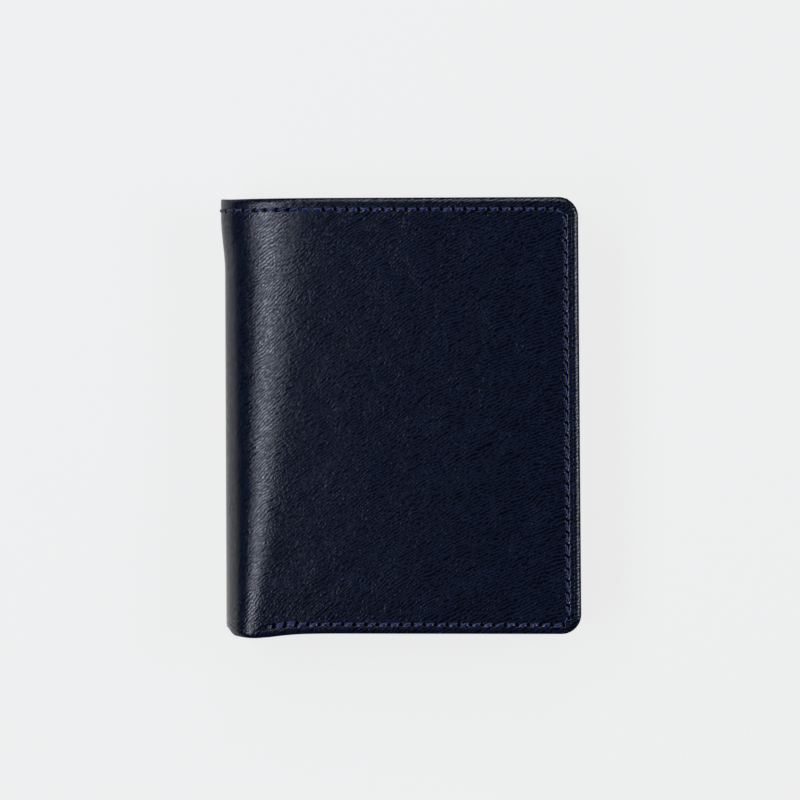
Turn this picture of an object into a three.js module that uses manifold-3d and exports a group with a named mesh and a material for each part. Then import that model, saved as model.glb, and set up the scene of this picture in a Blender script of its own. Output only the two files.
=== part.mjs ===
import * as THREE from 'three';
import { mergeVertices } from 'three/addons/utils/BufferGeometryUtils.js';
import Module from 'manifold-3d';

// Trifold wallet of navy leather, closed, lying on its centre panel.
// X runs from the spine to the free edge, Y towards the mouth of the note compartment,
// Z up from the surface that the wallet lies on. Millimetres.

const wasm = await Module();
wasm.setup();

// Outline of the closed wallet
const closedWidth = 90;
const panelHeight = 109;
const spineDrop = 1; // the spine hangs this much lower than the panels at the closed end
const cornerRadius = 5;
const edgeRounding = 0.5; // turned edge of the leather
const frontOverhang = 1.5; // front panel past the inner fold
const flapLength = 58; // inner flap from the inner fold's tangent line to its free end

// Folds: how far each one bulges past its tangent line
const spineReach = 15;
const innerFoldReach = 8;
const slatGap = 0.4; // hinge gap between neighbouring pieces of a fold

// Layers, from the leather inwards
const coverThickness = 1.4;
const liningThickness = 0.4;
const noteGap = 0.8; // empty note compartment
const wallThickness = 0.6;
const pocketThickness = 0.9;
const filmThickness = 0.3;
const seatGap = 0.3; // clearance between sewn layers
const centreFlapGap = 0.9;
const flapFrontGap = 1.2;

// Inside the cover
const liningInset = 1.2; // lining back from the turned edge
const wallDrop = 6; // note wall lower than the cover at the mouth
const wallInset = 1;
const foldClearance = 2; // pockets back from a fold's tangent line

// Card pockets
const frontPocketCount = 4;
const frontPocketStep = 6;
const frontFirstMouth = 5; // first mouth from the spine's tangent line
const flapPocketCount = 3;
const flapPocketStep = 7;
const flapFirstMouth = 8; // first mouth below the note wall's top
const pocketCorner = 2;
const thumbRadius = 16;
const thumbDepth = 4;

// Slip pocket and identity window on the centre panel
const slipMouthDrop = 4;
const slipMouthSlope = 8; // the mouth falls this much towards the spine
const windowSideBorder = 7.75; // leather of the frame beside the window
const windowEndBorder = 10; // and above and below it
const windowCorner = 4;
const filmMargin = 3; // film past the window on every side
const frameDrop = 10; // frame lower than the note wall's top
const frameSlotWidth = 16; // thumb slot that opens the window's frame
const frameSlotDepth = 5;

// Seams: thread laid in a groove
const seamInset = 3;
const threadWidth = 0.7;
const threadDepth = 0.5;
const threadGap = 0.3; // groove past the thread, at each side and below
const seamLead = 1; // overlap of a seam's flat run with its run round a fold
const seamBottomStart = 1.5; // bottom row starts this far from the spine's tangent line
const seamCornerCut = 1.2; // the bottom row meets the free edge's row on a diagonal

// Each fold turns half round, facet by facet
const halfTurn = 180;
const facetTurn = 7.5;
const spineHingeCount = 2;
const innerFoldHingeCount = 2;
const roundSegments = 6;

// Worked out from the sizes above
const wallDepth = coverThickness + seatGap + liningThickness + noteGap;
const shellDepth = wallDepth + wallThickness;
const pocketPitch = pocketThickness + seatGap;
const centreDepth = shellDepth + 2 * pocketPitch + filmThickness + seatGap;
const flapDepth = shellDepth + flapPocketCount * pocketPitch;
const frontDepth = shellDepth + frontPocketCount * pocketPitch;
const flapTop = centreDepth + centreFlapGap + flapDepth;
const closedDepth = flapTop + flapFrontGap + frontDepth;
const spineBottom = -(panelHeight + spineDrop) / 2;
const yTop = spineBottom + panelHeight + spineDrop;
const yBottom = spineBottom + spineDrop;
const wallTop = yTop - wallDrop;
const wallBottom = yBottom + wallInset;
const xFree = closedWidth / 2;
const spine = { x: spineReach - xFree, side: -1, reach: spineReach, rise: closedDepth / 2 };
const innerFold = {
  x: xFree - frontOverhang - innerFoldReach,
  side: 1,
  reach: innerFoldReach,
  rise: flapTop / 2,
};
const flapEnd = innerFold.x - flapLength;
const spineTurn = halfTurn / spineHingeCount;
const innerFoldTurn = halfTurn / innerFoldHingeCount;

// Finishes

function leather() {
  return new THREE.MeshStandardMaterial({ color: 0x121826, roughness: 0.42, metalness: 0 });
}

function liningCloth() {
  return new THREE.MeshStandardMaterial({ color: 0x1b2438, roughness: 0.85, metalness: 0 });
}

function clearFilm() {
  return new THREE.MeshStandardMaterial({
    color: 0xdfe6ea,
    roughness: 0.1,
    metalness: 0,
    transparent: true,
    opacity: 0.35,
  });
}

function blueThread() {
  return new THREE.MeshStandardMaterial({ color: 0x3c4b96, roughness: 0.6, metalness: 0 });
}

// Solids

function toSolid(geometry) {
  const bare = geometry.clone();
  bare.deleteAttribute('normal');
  bare.deleteAttribute('uv');
  const merged = mergeVertices(bare);
  return new wasm.Manifold(new wasm.Mesh({
    numProp: 3,
    vertProperties: new Float32Array(merged.attributes.position.array),
    triVerts: new Uint32Array(merged.index.array),
  }));
}

function toGeometry(solid) {
  const mesh = solid.getMesh();
  const geometry = new THREE.BufferGeometry();
  geometry.setAttribute('position', new THREE.BufferAttribute(mesh.vertProperties, 3));
  geometry.setIndex(new THREE.BufferAttribute(mesh.triVerts, 1));
  geometry.computeVertexNormals();
  return geometry;
}

// A point on a fold's surface where it has turned from the panel below it, at a depth inside.
// The fold is half an ellipse, reach wide and rise high, and turn is in degrees.
function foldPoint(fold, turn, depth) {
  const angle = THREE.MathUtils.degToRad(turn);
  const phi = Math.atan2(fold.reach * Math.sin(angle), fold.rise * Math.cos(angle));
  const x = fold.x + fold.side * (fold.reach * Math.sin(phi) - depth * Math.sin(angle));
  const z = fold.rise - fold.rise * Math.cos(phi) + depth * Math.cos(angle);
  return new THREE.Vector2(x, z);
}

// The same surface between two turns, as a row of points
function foldRun(fold, fromTurn, toTurn, depth) {
  const steps = Math.max(1, Math.round(Math.abs(toTurn - fromTurn) / facetTurn));
  return Array.from({ length: steps + 1 }, (_, i) =>
    foldPoint(fold, THREE.MathUtils.lerp(fromTurn, toTurn, i / steps), depth));
}

// A layer between two depths, from the points that run() gives at a depth,
// carried along Y from low to high. Its two ends along Y may be rounded.
function layer(run, depth, thickness, low, high, rounding = 0) {
  const points = [...run(depth), ...run(depth + thickness).reverse()];
  if (THREE.ShapeUtils.area(points) < 0) points.reverse();
  const geometry = new THREE.ExtrudeGeometry(new THREE.Shape(points), {
    depth: high - low - 2 * rounding,
    bevelEnabled: rounding > 0,
    bevelThickness: rounding,
    bevelSize: rounding / 2,
    bevelOffset: -rounding / 2,
    bevelSegments: 2,
  });
  geometry.rotateX(Math.PI / 2);
  geometry.translate(0, high - rounding, 0);
  return toSolid(geometry);
}

// A flat plate of a drawn outline, lowest face at z
function plate(shape, z, thickness) {
  const geometry = new THREE.ExtrudeGeometry(shape, {
    depth: thickness,
    bevelEnabled: false,
    curveSegments: roundSegments,
  });
  geometry.translate(0, 0, z);
  return toSolid(geometry);
}

// A rectangle with its own radius at each corner: low left, low right, high right, high left
function roundedRectangle(left, low, right, high, radii, Kind = THREE.Shape) {
  const [a, b, c, d] = radii;
  const shape = new Kind();
  shape.moveTo(left + a, low);
  shape.lineTo(right - b, low);
  if (b > 0) shape.absarc(right - b, low + b, b, -Math.PI / 2, 0);
  shape.lineTo(right, high - c);
  if (c > 0) shape.absarc(right - c, high - c, c, 0, Math.PI / 2);
  shape.lineTo(left + d, high);
  if (d > 0) shape.absarc(left + d, high - d, d, Math.PI / 2, Math.PI);
  shape.lineTo(left, low + a);
  if (a > 0) shape.absarc(left + a, low + a, a, Math.PI, 1.5 * Math.PI);
  return shape;
}

// Panels as rows of points at a depth inside the leather. Each ends half a hinge gap before
// the next piece, or right on the hinge line where a groove has to pass its end.

function hingeGap(fold, passes) {
  return passes ? 0 : THREE.MathUtils.radToDeg(slatGap / 2 / fold.rise);
}

function centreRun(passes = false) {
  return (depth) => [
    ...foldRun(innerFold, innerFoldTurn / 2 - hingeGap(innerFold, passes), 0, depth),
    ...foldRun(spine, 0, spineTurn / 2 - hingeGap(spine, passes), depth),
  ];
}

function frontRun(endX, passes = false) {
  return (depth) => [
    ...foldRun(spine, halfTurn - spineTurn / 2 + hingeGap(spine, passes), halfTurn, depth),
    new THREE.Vector2(endX, closedDepth - depth),
  ];
}

function flapRun(endX, passes = false) {
  const start = halfTurn - innerFoldTurn / 2 + hingeGap(innerFold, passes);
  return (depth) => [
    ...foldRun(innerFold, start, halfTurn, depth),
    new THREE.Vector2(endX, flapTop - depth),
  ];
}

function slatRun(fold, turn, index, passes = false) {
  const middle = index * turn;
  const half = turn / 2 - hingeGap(fold, passes);
  return (depth) => foldRun(fold, middle - half, middle + half, depth);
}

// Gives a leather panel its rounded corners and its rounded free edge

function trimFreeEnd(sheet, tangentX, freeX, top) {
  const toFree = Math.sign(freeX - tangentX);
  const radii = toFree > 0
    ? [0, cornerRadius, cornerRadius, 0]
    : [cornerRadius, 0, 0, cornerRadius];
  const outline = roundedRectangle(Math.min(tangentX, freeX), yBottom,
    Math.max(tangentX, freeX), yTop, radii);
  const flat = new THREE.ExtrudeGeometry(outline, {
    depth: coverThickness - 2 * edgeRounding,
    bevelEnabled: true,
    bevelThickness: edgeRounding,
    bevelSize: edgeRounding,
    bevelOffset: -edgeRounding,
    bevelSegments: 2,
    curveSegments: roundSegments,
  });
  flat.translate(0, 0, top - coverThickness + edgeRounding);
  const foldSide = new THREE.BoxGeometry(closedWidth, 2 * panelHeight, 2 * closedDepth);
  foldSide.translate(tangentX + toFree * (2 * edgeRounding - closedWidth / 2), 0, top);
  return sheet.intersect(toSolid(flat).add(toSolid(foldSide)));
}

// Seams: the thread's path with a margin, which is 0 for the thread and threadGap for its groove

function foldSeam(run, margin) {
  const half = threadWidth / 2 + margin;
  const row = yTop - seamInset;
  return layer(run, -margin, threadDepth + 2 * margin, row - half, row + half);
}

// A C of thread round a free end: top row, free edge's row, bottom row with its corner cut
function freeSeam(fold, freeX, z, margin) {
  const toFree = Math.sign(freeX - fold.x);
  const half = threadWidth / 2 + margin;
  const at = (x, y) => new THREE.Vector2(x, y);
  const column = freeX - toFree * seamInset;
  const top = yTop - seamInset;
  const bottom = yBottom + seamInset;
  const outer = column + toFree * half;
  const inner = column - toFree * half;
  const start = fold.x + toFree * (seamBottomStart - margin);
  const cut = (offset) => seamCornerCut + offset * (2 - Math.SQRT2);
  const points = [
    at(fold.x, top + half),
    at(outer, top + half),
    at(outer, bottom - half + cut(half)),
    at(outer - toFree * cut(half), bottom - half),
    at(start, bottom - half),
    at(start, bottom + half),
    at(inner - toFree * cut(-half), bottom + half),
    at(inner, bottom + half + cut(-half)),
    at(inner, top - half),
    at(fold.x, top - half),
  ];
  if (THREE.ShapeUtils.area(points) < 0) points.reverse();
  return plate(new THREE.Shape(points), z - threadDepth - margin, threadDepth + 2 * margin);
}

function frontSeam(margin) {
  return foldSeam(frontRun(spine.x + seamLead, margin > 0), margin)
    .add(freeSeam(spine, xFree, closedDepth, margin));
}

function flapSeam(margin) {
  return foldSeam(flapRun(innerFold.x - seamLead, margin > 0), margin)
    .add(freeSeam(innerFold, flapEnd, flapTop, margin));
}

function centreTopSeam(margin) {
  return foldSeam(centreRun(margin > 0), margin);
}

function centreBottomSeam(margin) {
  const half = threadWidth / 2 + margin;
  const row = yBottom + seamInset;
  const left = spine.x + seamBottomStart - margin;
  const right = innerFold.x - seamBottomStart + margin;
  const bar = roundedRectangle(left, row - half, right, row + half, [0, 0, 0, 0]);
  return plate(bar, -margin, threadDepth + 2 * margin);
}

// Pockets

// A card pocket with its mouth towards the spine. The foremost has a thumb notch.
function sidePocketShape(mouthX, notched) {
  const right = xFree - liningInset;
  const shape = new THREE.Shape();
  shape.moveTo(mouthX, wallBottom);
  shape.lineTo(right - pocketCorner, wallBottom);
  shape.absarc(right - pocketCorner, wallBottom + pocketCorner, pocketCorner, -Math.PI / 2, 0);
  shape.lineTo(right, wallTop);
  shape.lineTo(mouthX, wallTop);
  if (notched) {
    const middle = (wallTop + wallBottom) / 2;
    const half = Math.sqrt(thumbRadius ** 2 - (thumbRadius - thumbDepth) ** 2);
    const sweep = Math.asin(half / thumbRadius);
    shape.lineTo(mouthX, middle + half);
    shape.absarc(mouthX - (thumbRadius - thumbDepth), middle, thumbRadius, sweep, -sweep, true);
  }
  return shape;
}

// A card pocket with its mouth towards the note compartment's mouth
function topPocketShape(mouthY, notched) {
  const left = flapEnd + liningInset;
  const right = innerFold.x - foldClearance;
  const shape = new THREE.Shape();
  shape.moveTo(left, mouthY);
  shape.lineTo(left, wallBottom + pocketCorner);
  shape.absarc(left + pocketCorner, wallBottom + pocketCorner, pocketCorner, Math.PI, 1.5 * Math.PI);
  shape.lineTo(right, wallBottom);
  shape.lineTo(right, mouthY);
  if (notched) {
    const middle = (left + right) / 2;
    const half = Math.sqrt(thumbRadius ** 2 - (thumbRadius - thumbDepth) ** 2);
    const sweep = Math.asin(half / thumbRadius);
    const start = Math.PI / 2;
    shape.lineTo(middle + half, mouthY);
    shape.absarc(middle, mouthY + thumbRadius - thumbDepth, thumbRadius,
      -start + sweep, -start - sweep, true);
  }
  return shape;
}

const centreLeft = spine.x + foldClearance;
const centreRight = innerFold.x - foldClearance;

function slipPocketShape() {
  const high = wallTop - slipMouthDrop;
  const shape = new THREE.Shape();
  shape.moveTo(centreLeft, wallBottom);
  shape.lineTo(centreRight, wallBottom);
  shape.lineTo(centreRight, high);
  shape.lineTo(centreLeft, high - slipMouthSlope);
  return shape;
}

const frameTop = wallTop - frameDrop;

function windowRectangle(margin, radius, Kind = THREE.Shape) {
  return roundedRectangle(centreLeft + windowSideBorder - margin,
    wallBottom + windowEndBorder - margin, centreRight - windowSideBorder + margin,
    frameTop - windowEndBorder + margin, Array(4).fill(radius), Kind);
}

function frameShape() {
  const middleX = (centreLeft + centreRight) / 2;
  const shape = new THREE.Shape();
  shape.moveTo(centreLeft, wallBottom);
  shape.lineTo(centreRight, wallBottom);
  shape.lineTo(centreRight, frameTop);
  shape.lineTo(middleX + frameSlotWidth / 2, frameTop);
  shape.absarc(middleX + frameSlotWidth / 2 - frameSlotDepth, frameTop,
    frameSlotDepth, 0, -Math.PI / 2, true);
  shape.absarc(middleX - frameSlotWidth / 2 + frameSlotDepth, frameTop,
    frameSlotDepth, -Math.PI / 2, -Math.PI, true);
  shape.lineTo(centreLeft, frameTop);
  shape.holes.push(windowRectangle(0, windowCorner, THREE.Path));
  return shape;
}

// Assembly

function named(name, solid, material) {
  const mesh = new THREE.Mesh(toGeometry(solid), material);
  mesh.name = name;
  return mesh;
}

const liningDepth = coverThickness + seatGap;

// The lining and the note wall of a panel or of a fold's piece
function innerLayers(name, run) {
  return [
    named(`note_lining_${name}`, layer(run, liningDepth, liningThickness,
      yBottom + liningInset, yTop - liningInset), liningCloth()),
    named(`note_wall_${name}`, layer(run, wallDepth, wallThickness, wallBottom, wallTop),
      leather()),
  ];
}

function centrePanel() {
  const panel = new THREE.Group();
  const cover = layer(centreRun(), 0, coverThickness, yBottom, yTop, edgeRounding)
    .subtract(centreTopSeam(threadGap))
    .subtract(centreBottomSeam(threadGap));
  const slipZ = shellDepth + seatGap;
  const filmZ = slipZ + pocketPitch;
  const frameZ = filmZ + filmThickness + seatGap;
  panel.add(
    named('cover_centre', cover, leather()),
    ...innerLayers('centre', centreRun()),
    named('seam_centre_top', centreTopSeam(0), blueThread()),
    named('seam_centre_bottom', centreBottomSeam(0), blueThread()),
    named('slip_pocket', plate(slipPocketShape(), slipZ, pocketThickness), leather()),
    named('id_window_film', plate(windowRectangle(filmMargin, windowCorner), filmZ, filmThickness),
      clearFilm()),
    named('id_window_frame', plate(frameShape(), frameZ, pocketThickness), leather()),
  );
  return panel;
}

function foldPiece(fold, turn, index, name, low) {
  const piece = new THREE.Group();
  const run = slatRun(fold, turn, index);
  const cover = layer(run, 0, coverThickness, low, yTop, edgeRounding)
    .subtract(foldSeam(slatRun(fold, turn, index, true), threadGap));
  piece.add(
    named(`cover_${name}`, cover, leather()),
    ...innerLayers(name, run),
    named(`seam_${name}`, foldSeam(run, 0), blueThread()),
  );
  return piece;
}

function frontPanel() {
  const panel = new THREE.Group();
  const sheet = layer(frontRun(xFree), 0, coverThickness, yBottom, yTop, edgeRounding);
  const cover = trimFreeEnd(sheet, spine.x, xFree, closedDepth).subtract(frontSeam(threadGap));
  panel.add(
    named('cover_front', cover, leather()),
    ...innerLayers('front', frontRun(xFree - liningInset)),
    named('seam_front', frontSeam(0), blueThread()),
  );
  for (let i = 0; i < frontPocketCount; i += 1) {
    const mouth = spine.x + frontFirstMouth + i * frontPocketStep;
    const z = closedDepth - shellDepth - (i + 1) * pocketPitch;
    const shape = sidePocketShape(mouth, i === frontPocketCount - 1);
    panel.add(named(`card_pocket_front_${i + 1}`, plate(shape, z, pocketThickness), leather()));
  }
  return panel;
}

function innerFlap() {
  const panel = new THREE.Group();
  const sheet = layer(flapRun(flapEnd), 0, coverThickness, yBottom, yTop, edgeRounding);
  const cover = trimFreeEnd(sheet, innerFold.x, flapEnd, flapTop).subtract(flapSeam(threadGap));
  panel.add(
    named('cover_flap', cover, leather()),
    ...innerLayers('flap', flapRun(flapEnd + liningInset)),
    named('seam_flap', flapSeam(0), blueThread()),
  );
  for (let i = 0; i < flapPocketCount; i += 1) {
    const mouth = wallTop - flapFirstMouth - i * flapPocketStep;
    const z = flapTop - shellDepth - (i + 1) * pocketPitch;
    const shape = topPocketShape(mouth, i === flapPocketCount - 1);
    panel.add(named(`card_pocket_flap_${i + 1}`, plate(shape, z, pocketThickness), leather()));
  }
  return panel;
}

const group = new THREE.Group();
group.add(centrePanel());
for (let i = 1; i < spineHingeCount; i += 1) {
  group.add(foldPiece(spine, spineTurn, i, `spine_${i}`, spineBottom));
}
group.add(frontPanel());
for (let i = 1; i < innerFoldHingeCount; i += 1) {
  group.add(foldPiece(innerFold, innerFoldTurn, i, `inner_fold_${i}`, yBottom));
}
group.add(innerFlap());

export default group;
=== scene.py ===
"""A closed trifold wallet of navy leather: its looks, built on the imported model's frame.

The wallet lies on its centre panel. X runs from the spine to the free edge, Y towards the
mouth of the note compartment, Z up. Shapes are worked out in millimetres and put into the
meshes in metres.
"""

import logging
import math
from dataclasses import dataclass, field
from enum import Enum
from typing import Callable, Sequence

import bpy
import numpy as np
from mathutils import Matrix, Vector


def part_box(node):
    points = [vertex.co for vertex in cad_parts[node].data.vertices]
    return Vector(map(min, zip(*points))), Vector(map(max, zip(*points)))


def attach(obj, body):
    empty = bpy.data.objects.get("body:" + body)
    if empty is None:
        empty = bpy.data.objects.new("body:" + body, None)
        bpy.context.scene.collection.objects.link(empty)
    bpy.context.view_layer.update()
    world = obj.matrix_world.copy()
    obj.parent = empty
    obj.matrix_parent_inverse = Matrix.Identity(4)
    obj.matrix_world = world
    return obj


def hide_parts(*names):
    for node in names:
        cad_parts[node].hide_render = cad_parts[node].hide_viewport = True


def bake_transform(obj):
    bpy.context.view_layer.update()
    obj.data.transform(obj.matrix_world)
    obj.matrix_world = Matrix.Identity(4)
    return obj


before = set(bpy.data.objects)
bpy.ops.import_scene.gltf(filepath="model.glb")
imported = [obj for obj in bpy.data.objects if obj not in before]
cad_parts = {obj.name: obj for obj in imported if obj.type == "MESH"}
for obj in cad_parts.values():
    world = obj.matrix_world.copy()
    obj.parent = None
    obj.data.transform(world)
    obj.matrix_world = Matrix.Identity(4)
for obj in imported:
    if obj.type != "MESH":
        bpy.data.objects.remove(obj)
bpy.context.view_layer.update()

Array = np.ndarray
MM = 0.001
FLAT_MAP = "flat"
# Units of the flat map to a millimetre.
FLAT_UNIT = 0.01
# Vertex mask of the painted shade in the stitch holes: near black, without reflection.
HOLE_SHADE_MASK = "stitch_hole_shade"
log = logging.getLogger("trifold_wallet")


def smoothstep(value: Array) -> Array:
    """Rises from 0 to 1 with level ends: 3 t squared minus 2 t cubed, t held in 0 to 1."""
    t = np.clip(value, 0.0, 1.0)
    return t * t * (3.0 - 2.0 * t)


def bump(value: Array, width: float) -> Array:
    """A bell of height 1 at 0: e to the minus square of value over width."""
    return np.exp(-((value / width) ** 2))


def points_at(x: Array, y: Array, z: Array) -> Array:
    """Points from coordinates of matching shapes, one row of three for each."""
    return np.stack(np.broadcast_arrays(x, y, z), axis=-1)


def corners(node: str) -> tuple[Array, Array]:
    """Lowest and highest corner of a CAD node, in millimetres."""
    low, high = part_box(node)
    return np.array(low) / MM, np.array(high) / MM


@dataclass(frozen=True)
class Layer:
    """One sheet of the shell: how deep it lies inside the cover's outer surface."""

    name: str
    slot: str
    depth: float
    thickness: float
    edge_radius: float
    low: float
    high: float
    free_inset: float
    edge_width: float
    edge_drop: float


@dataclass(frozen=True)
class SpineRoll:
    """The rolled spine as photographed: wide at the mouth end, tight at the closed end."""

    extreme_x: float = -44.1
    lean: float = 0.0036
    flare: float = 1.0
    flare_from_y: float = 37.0
    flare_span: float = 14.0
    back_reach: float = 15.0
    mouth_reach: float = 25.0
    middle_reach: float = 18.5
    closed_reach: float = 8.3
    mouth_y: float = 55.0
    front_rise: float = 11.0
    fullness: float = 2.6
    droop: float = 1.0
    droop_x: float = -37.0
    droop_left: float = 5.5
    droop_right: float = 7.5
    tuck: float = 1.7
    tuck_width: float = 1.3
    droop_span: float = 14.0
    mouth_lift: float = 0.22
    mouth_lift_width: float = 2.0
    edge_keenness: float = 0.85
    slope_steps: int = 2001

    def extreme(self, y: Array) -> Array:
        """Leftmost x at a height: a slight lean, flared smoothly out towards the mouth end."""
        flare = self.flare * smoothstep((y - self.flare_from_y) / self.flare_span)
        return self.extreme_x + self.lean * y - flare

    def front_reach(self, y: Array) -> Array:
        """Half width of the roll's front quarter at y.

        Formula: the parabola through the reach at the closed end, the middle and the mouth.
        """
        t = y / self.mouth_y
        rise = (self.mouth_reach - self.closed_reach) / 2.0
        bend = (self.mouth_reach + self.closed_reach) / 2.0 - self.middle_reach
        return self.middle_reach + rise * t + bend * t * t

    def tangent_x(self, y: Array) -> Array:
        """Where the roll runs into the flat of the front panel."""
        return self.extreme(y) + self.front_reach(y)

    def front_share(self, tilt: Array, y: Array) -> Array:
        """Distance from the tangent line, as a share of the reach, where the roll tilts so.

        Formula: the roll drops by rise (1 - sqrt(1 - s^m)), m being its fullness, so that it
        leaves the flat without a step in its curve; the table of its slopes is read backwards.

        Args:
            tilt: angle of the surface from level, radians.
            y: height along the spine.

        Returns:
            The share s, 0 at the tangent line and 1 at the extreme.
        """
        s = 1.0 - np.linspace(1.0, 0.0, self.slope_steps) ** 2
        steep = np.arctan2(self.fullness / 2.0 * s ** (self.fullness - 1.0),
                           np.sqrt(np.maximum(1.0 - s ** self.fullness, 0.0)))
        wanted = np.arctan2(self.front_reach(y) * np.sin(tilt), self.front_rise * np.cos(tilt))
        return np.interp(wanted, steep, s)

    def settle_ends(self, x: Array, y: Array, low: float, high: float) -> Array:
        """The y of a point once the spine's ends hang as photographed.

        Formula: near the closed end y falls by a lopsided bell around droop_x and rises by a
        narrow bell at the extreme; near the mouth it rises at the extreme. Both fade inwards.
        """
        side = np.where(x < self.droop_x, self.droop_left, self.droop_right)
        fall = self.droop * np.exp(-(((x - self.droop_x) / side) ** 2))
        fall = fall - self.tuck * bump(x - self.extreme_x, self.tuck_width)
        fall = fall * smoothstep(1.0 - (y - low) / self.droop_span)
        lift = self.mouth_lift * bump(x - self.extreme_x + self.flare, self.mouth_lift_width)
        lift = lift * smoothstep(1.0 - (high - y) / self.droop_span)
        return y - fall + lift


@dataclass(frozen=True)
class WalletForm:
    """The wallet's sizes in millimetres, and the surface that every sheet of it follows."""

    free_x: float
    top_z: float
    flap_z: float
    flap_end_x: float
    inner_fold_x: float
    low_y: float
    high_y: float
    inner_reach: float = 8.0
    spine_tangent_x: float = -30.0
    corner_radius: float = 5.0
    lean_from_x: float = -18.0
    drawn_in: float = 0.14
    sunk_top: float = 0.25
    sunk_low: float = 0.6
    roll: SpineRoll = field(default_factory=SpineRoll)

    @classmethod
    def from_frame(cls) -> "WalletForm":
        """Reads the panels' sizes off the CAD nodes."""
        front_low, front_high = corners("cover_front")
        flap_low, flap_high = corners("cover_flap")
        fold_high = corners("cover_inner_fold_1")[1]
        return cls(
            free_x=front_high[0],
            top_z=front_high[2],
            flap_z=flap_high[2],
            flap_end_x=flap_low[0],
            inner_fold_x=fold_high[0] - cls.inner_reach,
            low_y=front_low[1],
            high_y=front_high[1],
        )

    def spine(self, turn: Array, y: Array, depth: Array) -> Array:
        """A point on the spine roll.

        Formula: a quarter ellipse behind and a fuller curve in front, whose reach changes with
        y, meet at the extreme. The point lies where the normal has turned by turn degrees from
        straight down, moved inwards along that normal by depth.

        Args:
            turn: 0 at the centre panel, 180 at the front panel, degrees.
            y: height along the spine.
            depth: distance inside the outer surface.

        Returns:
            Points, one row of three for each input.
        """
        roll = self.roll
        angle = np.radians(turn)
        rise = self.top_z - roll.front_rise
        phi = np.arctan2(roll.back_reach * np.sin(angle), rise * np.abs(np.cos(angle)))
        share = roll.front_share(np.pi - angle, y)
        height = roll.front_rise * np.sqrt(np.maximum(1.0 - share ** roll.fullness, 0.0))
        front = turn > 90.0
        across = np.where(front, roll.front_reach(y) * (1.0 - share),
                          roll.back_reach * (1.0 - np.sin(phi)))
        z = np.where(front, rise + height, rise * (1.0 - np.cos(phi)))
        x = roll.extreme(y) + across + depth * np.sin(angle)
        z = z + depth * np.cos(angle)
        return points_at(x, roll.settle_ends(x, y, self.low_y, self.high_y), z)

    def inner_fold(self, turn: Array, y: Array, depth: Array) -> Array:
        """A point on the fold to the inner flap: half an ellipse, 0 below and 180 on top."""
        angle = np.radians(turn)
        rise = self.flap_z / 2.0
        phi = np.arctan2(self.inner_reach * np.sin(angle), rise * np.cos(angle))
        x = self.inner_fold_x + self.inner_reach * np.sin(phi) - depth * np.sin(angle)
        z = rise - rise * np.cos(phi) + depth * np.cos(angle)
        return points_at(x, y, z)

    def front(self, x: Array, y: Array, depth: Array) -> Array:
        """A point of the front panel; its lines slide to meet the roll's own tangent line.

        Formula: beyond lean_from_x the panel also lies a little askew: towards its free edge
        its top and bottom sink by up to sunk_top and sunk_low, and the edge is drawn in.
        """
        span = self.free_x - self.corner_radius - self.spine_tangent_x
        share = np.clip(1.0 - (x - self.spine_tangent_x) / span, 0.0, 1.0)
        px = x + share * (self.roll.tangent_x(y) - self.spine_tangent_x)
        py = self.roll.settle_ends(px, y, self.low_y, self.high_y)
        reach = np.clip((px - self.lean_from_x) / (self.free_x - self.lean_from_x), 0.0, 1.0)
        up = (py - self.low_y) / (self.high_y - self.low_y)
        py = py - reach * (self.sunk_low + (self.sunk_top - self.sunk_low) * up)
        px = px - self.drawn_in * reach ** 2
        return points_at(px, py, self.top_z - depth)

    def front_lines(self, x: Array, y: Array) -> Array:
        """The line of the front panel that lies at x when it is in place: front's inverse."""
        span = self.free_x - self.corner_radius - self.spine_tangent_x
        shift = self.roll.tangent_x(y) - self.spine_tangent_x
        line = (x - shift * (1.0 + self.spine_tangent_x / span)) / (1.0 - shift / span)
        return np.where(x < self.free_x - self.corner_radius, line, x)

    def centre(self, x: Array, y: Array, depth: Array) -> Array:
        """A point of the centre panel, measured up from its outer face underneath."""
        span = self.inner_fold_x - self.spine_tangent_x
        share = np.clip((self.inner_fold_x - x) / span, 0.0, 1.0)
        shift = self.roll.extreme(y) + self.roll.back_reach - self.spine_tangent_x
        px = x + share * shift
        py = self.roll.settle_ends(px, y, self.low_y, self.high_y)
        return points_at(px, py, depth)

    def flap(self, x: Array, y: Array, depth: Array) -> Array:
        """A point of the inner flap, measured down from its outer face."""
        return points_at(x, y, self.flap_z - depth)


class Zone(Enum):
    """The stretches of the shell, in order from the inner flap's free end to the front's."""

    FLAP = "flap"
    INNER_FOLD_B = "inner_fold_b"
    INNER_FOLD_A = "inner_fold_a"
    CENTRE = "centre"
    SPINE_A = "spine_a"
    SPINE_B = "spine_b"
    FRONT = "front"


@dataclass(frozen=True)
class Bend:
    """A stretch of a fold that bends between two bodies, and the CAD pieces it stands for."""

    zone: Zone
    start_turn: float
    end_turn: float
    start_body: str
    end_body: str
    stands_for: str


SPINE_BENDS = (
    Bend(Zone.SPINE_A, 0.0, 90.0, "centre_panel", "spine", "spine_1"),
    Bend(Zone.SPINE_B, 90.0, 180.0, "spine", "front_panel", ""),
)
INNER_BENDS = (
    Bend(Zone.INNER_FOLD_A, 0.0, 90.0, "centre_panel", "inner_fold", "inner_fold_1"),
    Bend(Zone.INNER_FOLD_B, 90.0, 180.0, "inner_fold", "inner_flap", ""),
)


# Meshes


def grid_quads(rows: int, columns: int, first: int, flip: bool) -> Array:
    """Quads of a grid whose corner (i, j) is vertex first + i * columns + j."""
    i, j = np.meshgrid(np.arange(rows - 1), np.arange(columns - 1), indexing="ij")
    a = first + i * columns + j
    quads = np.stack([a, a + columns, a + columns + 1, a + 1], axis=-1).reshape(-1, 4)
    return quads[:, ::-1] if flip else quads


def edge_quads(a: Array, b: Array, count: int, turned: bool) -> Array:
    """Quads that join neighbours a and b of one grid to the same two, count vertices on."""
    quads = np.stack([a, b, b + count, a + count], axis=-1)
    return quads[:, ::-1] if turned else quads


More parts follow.
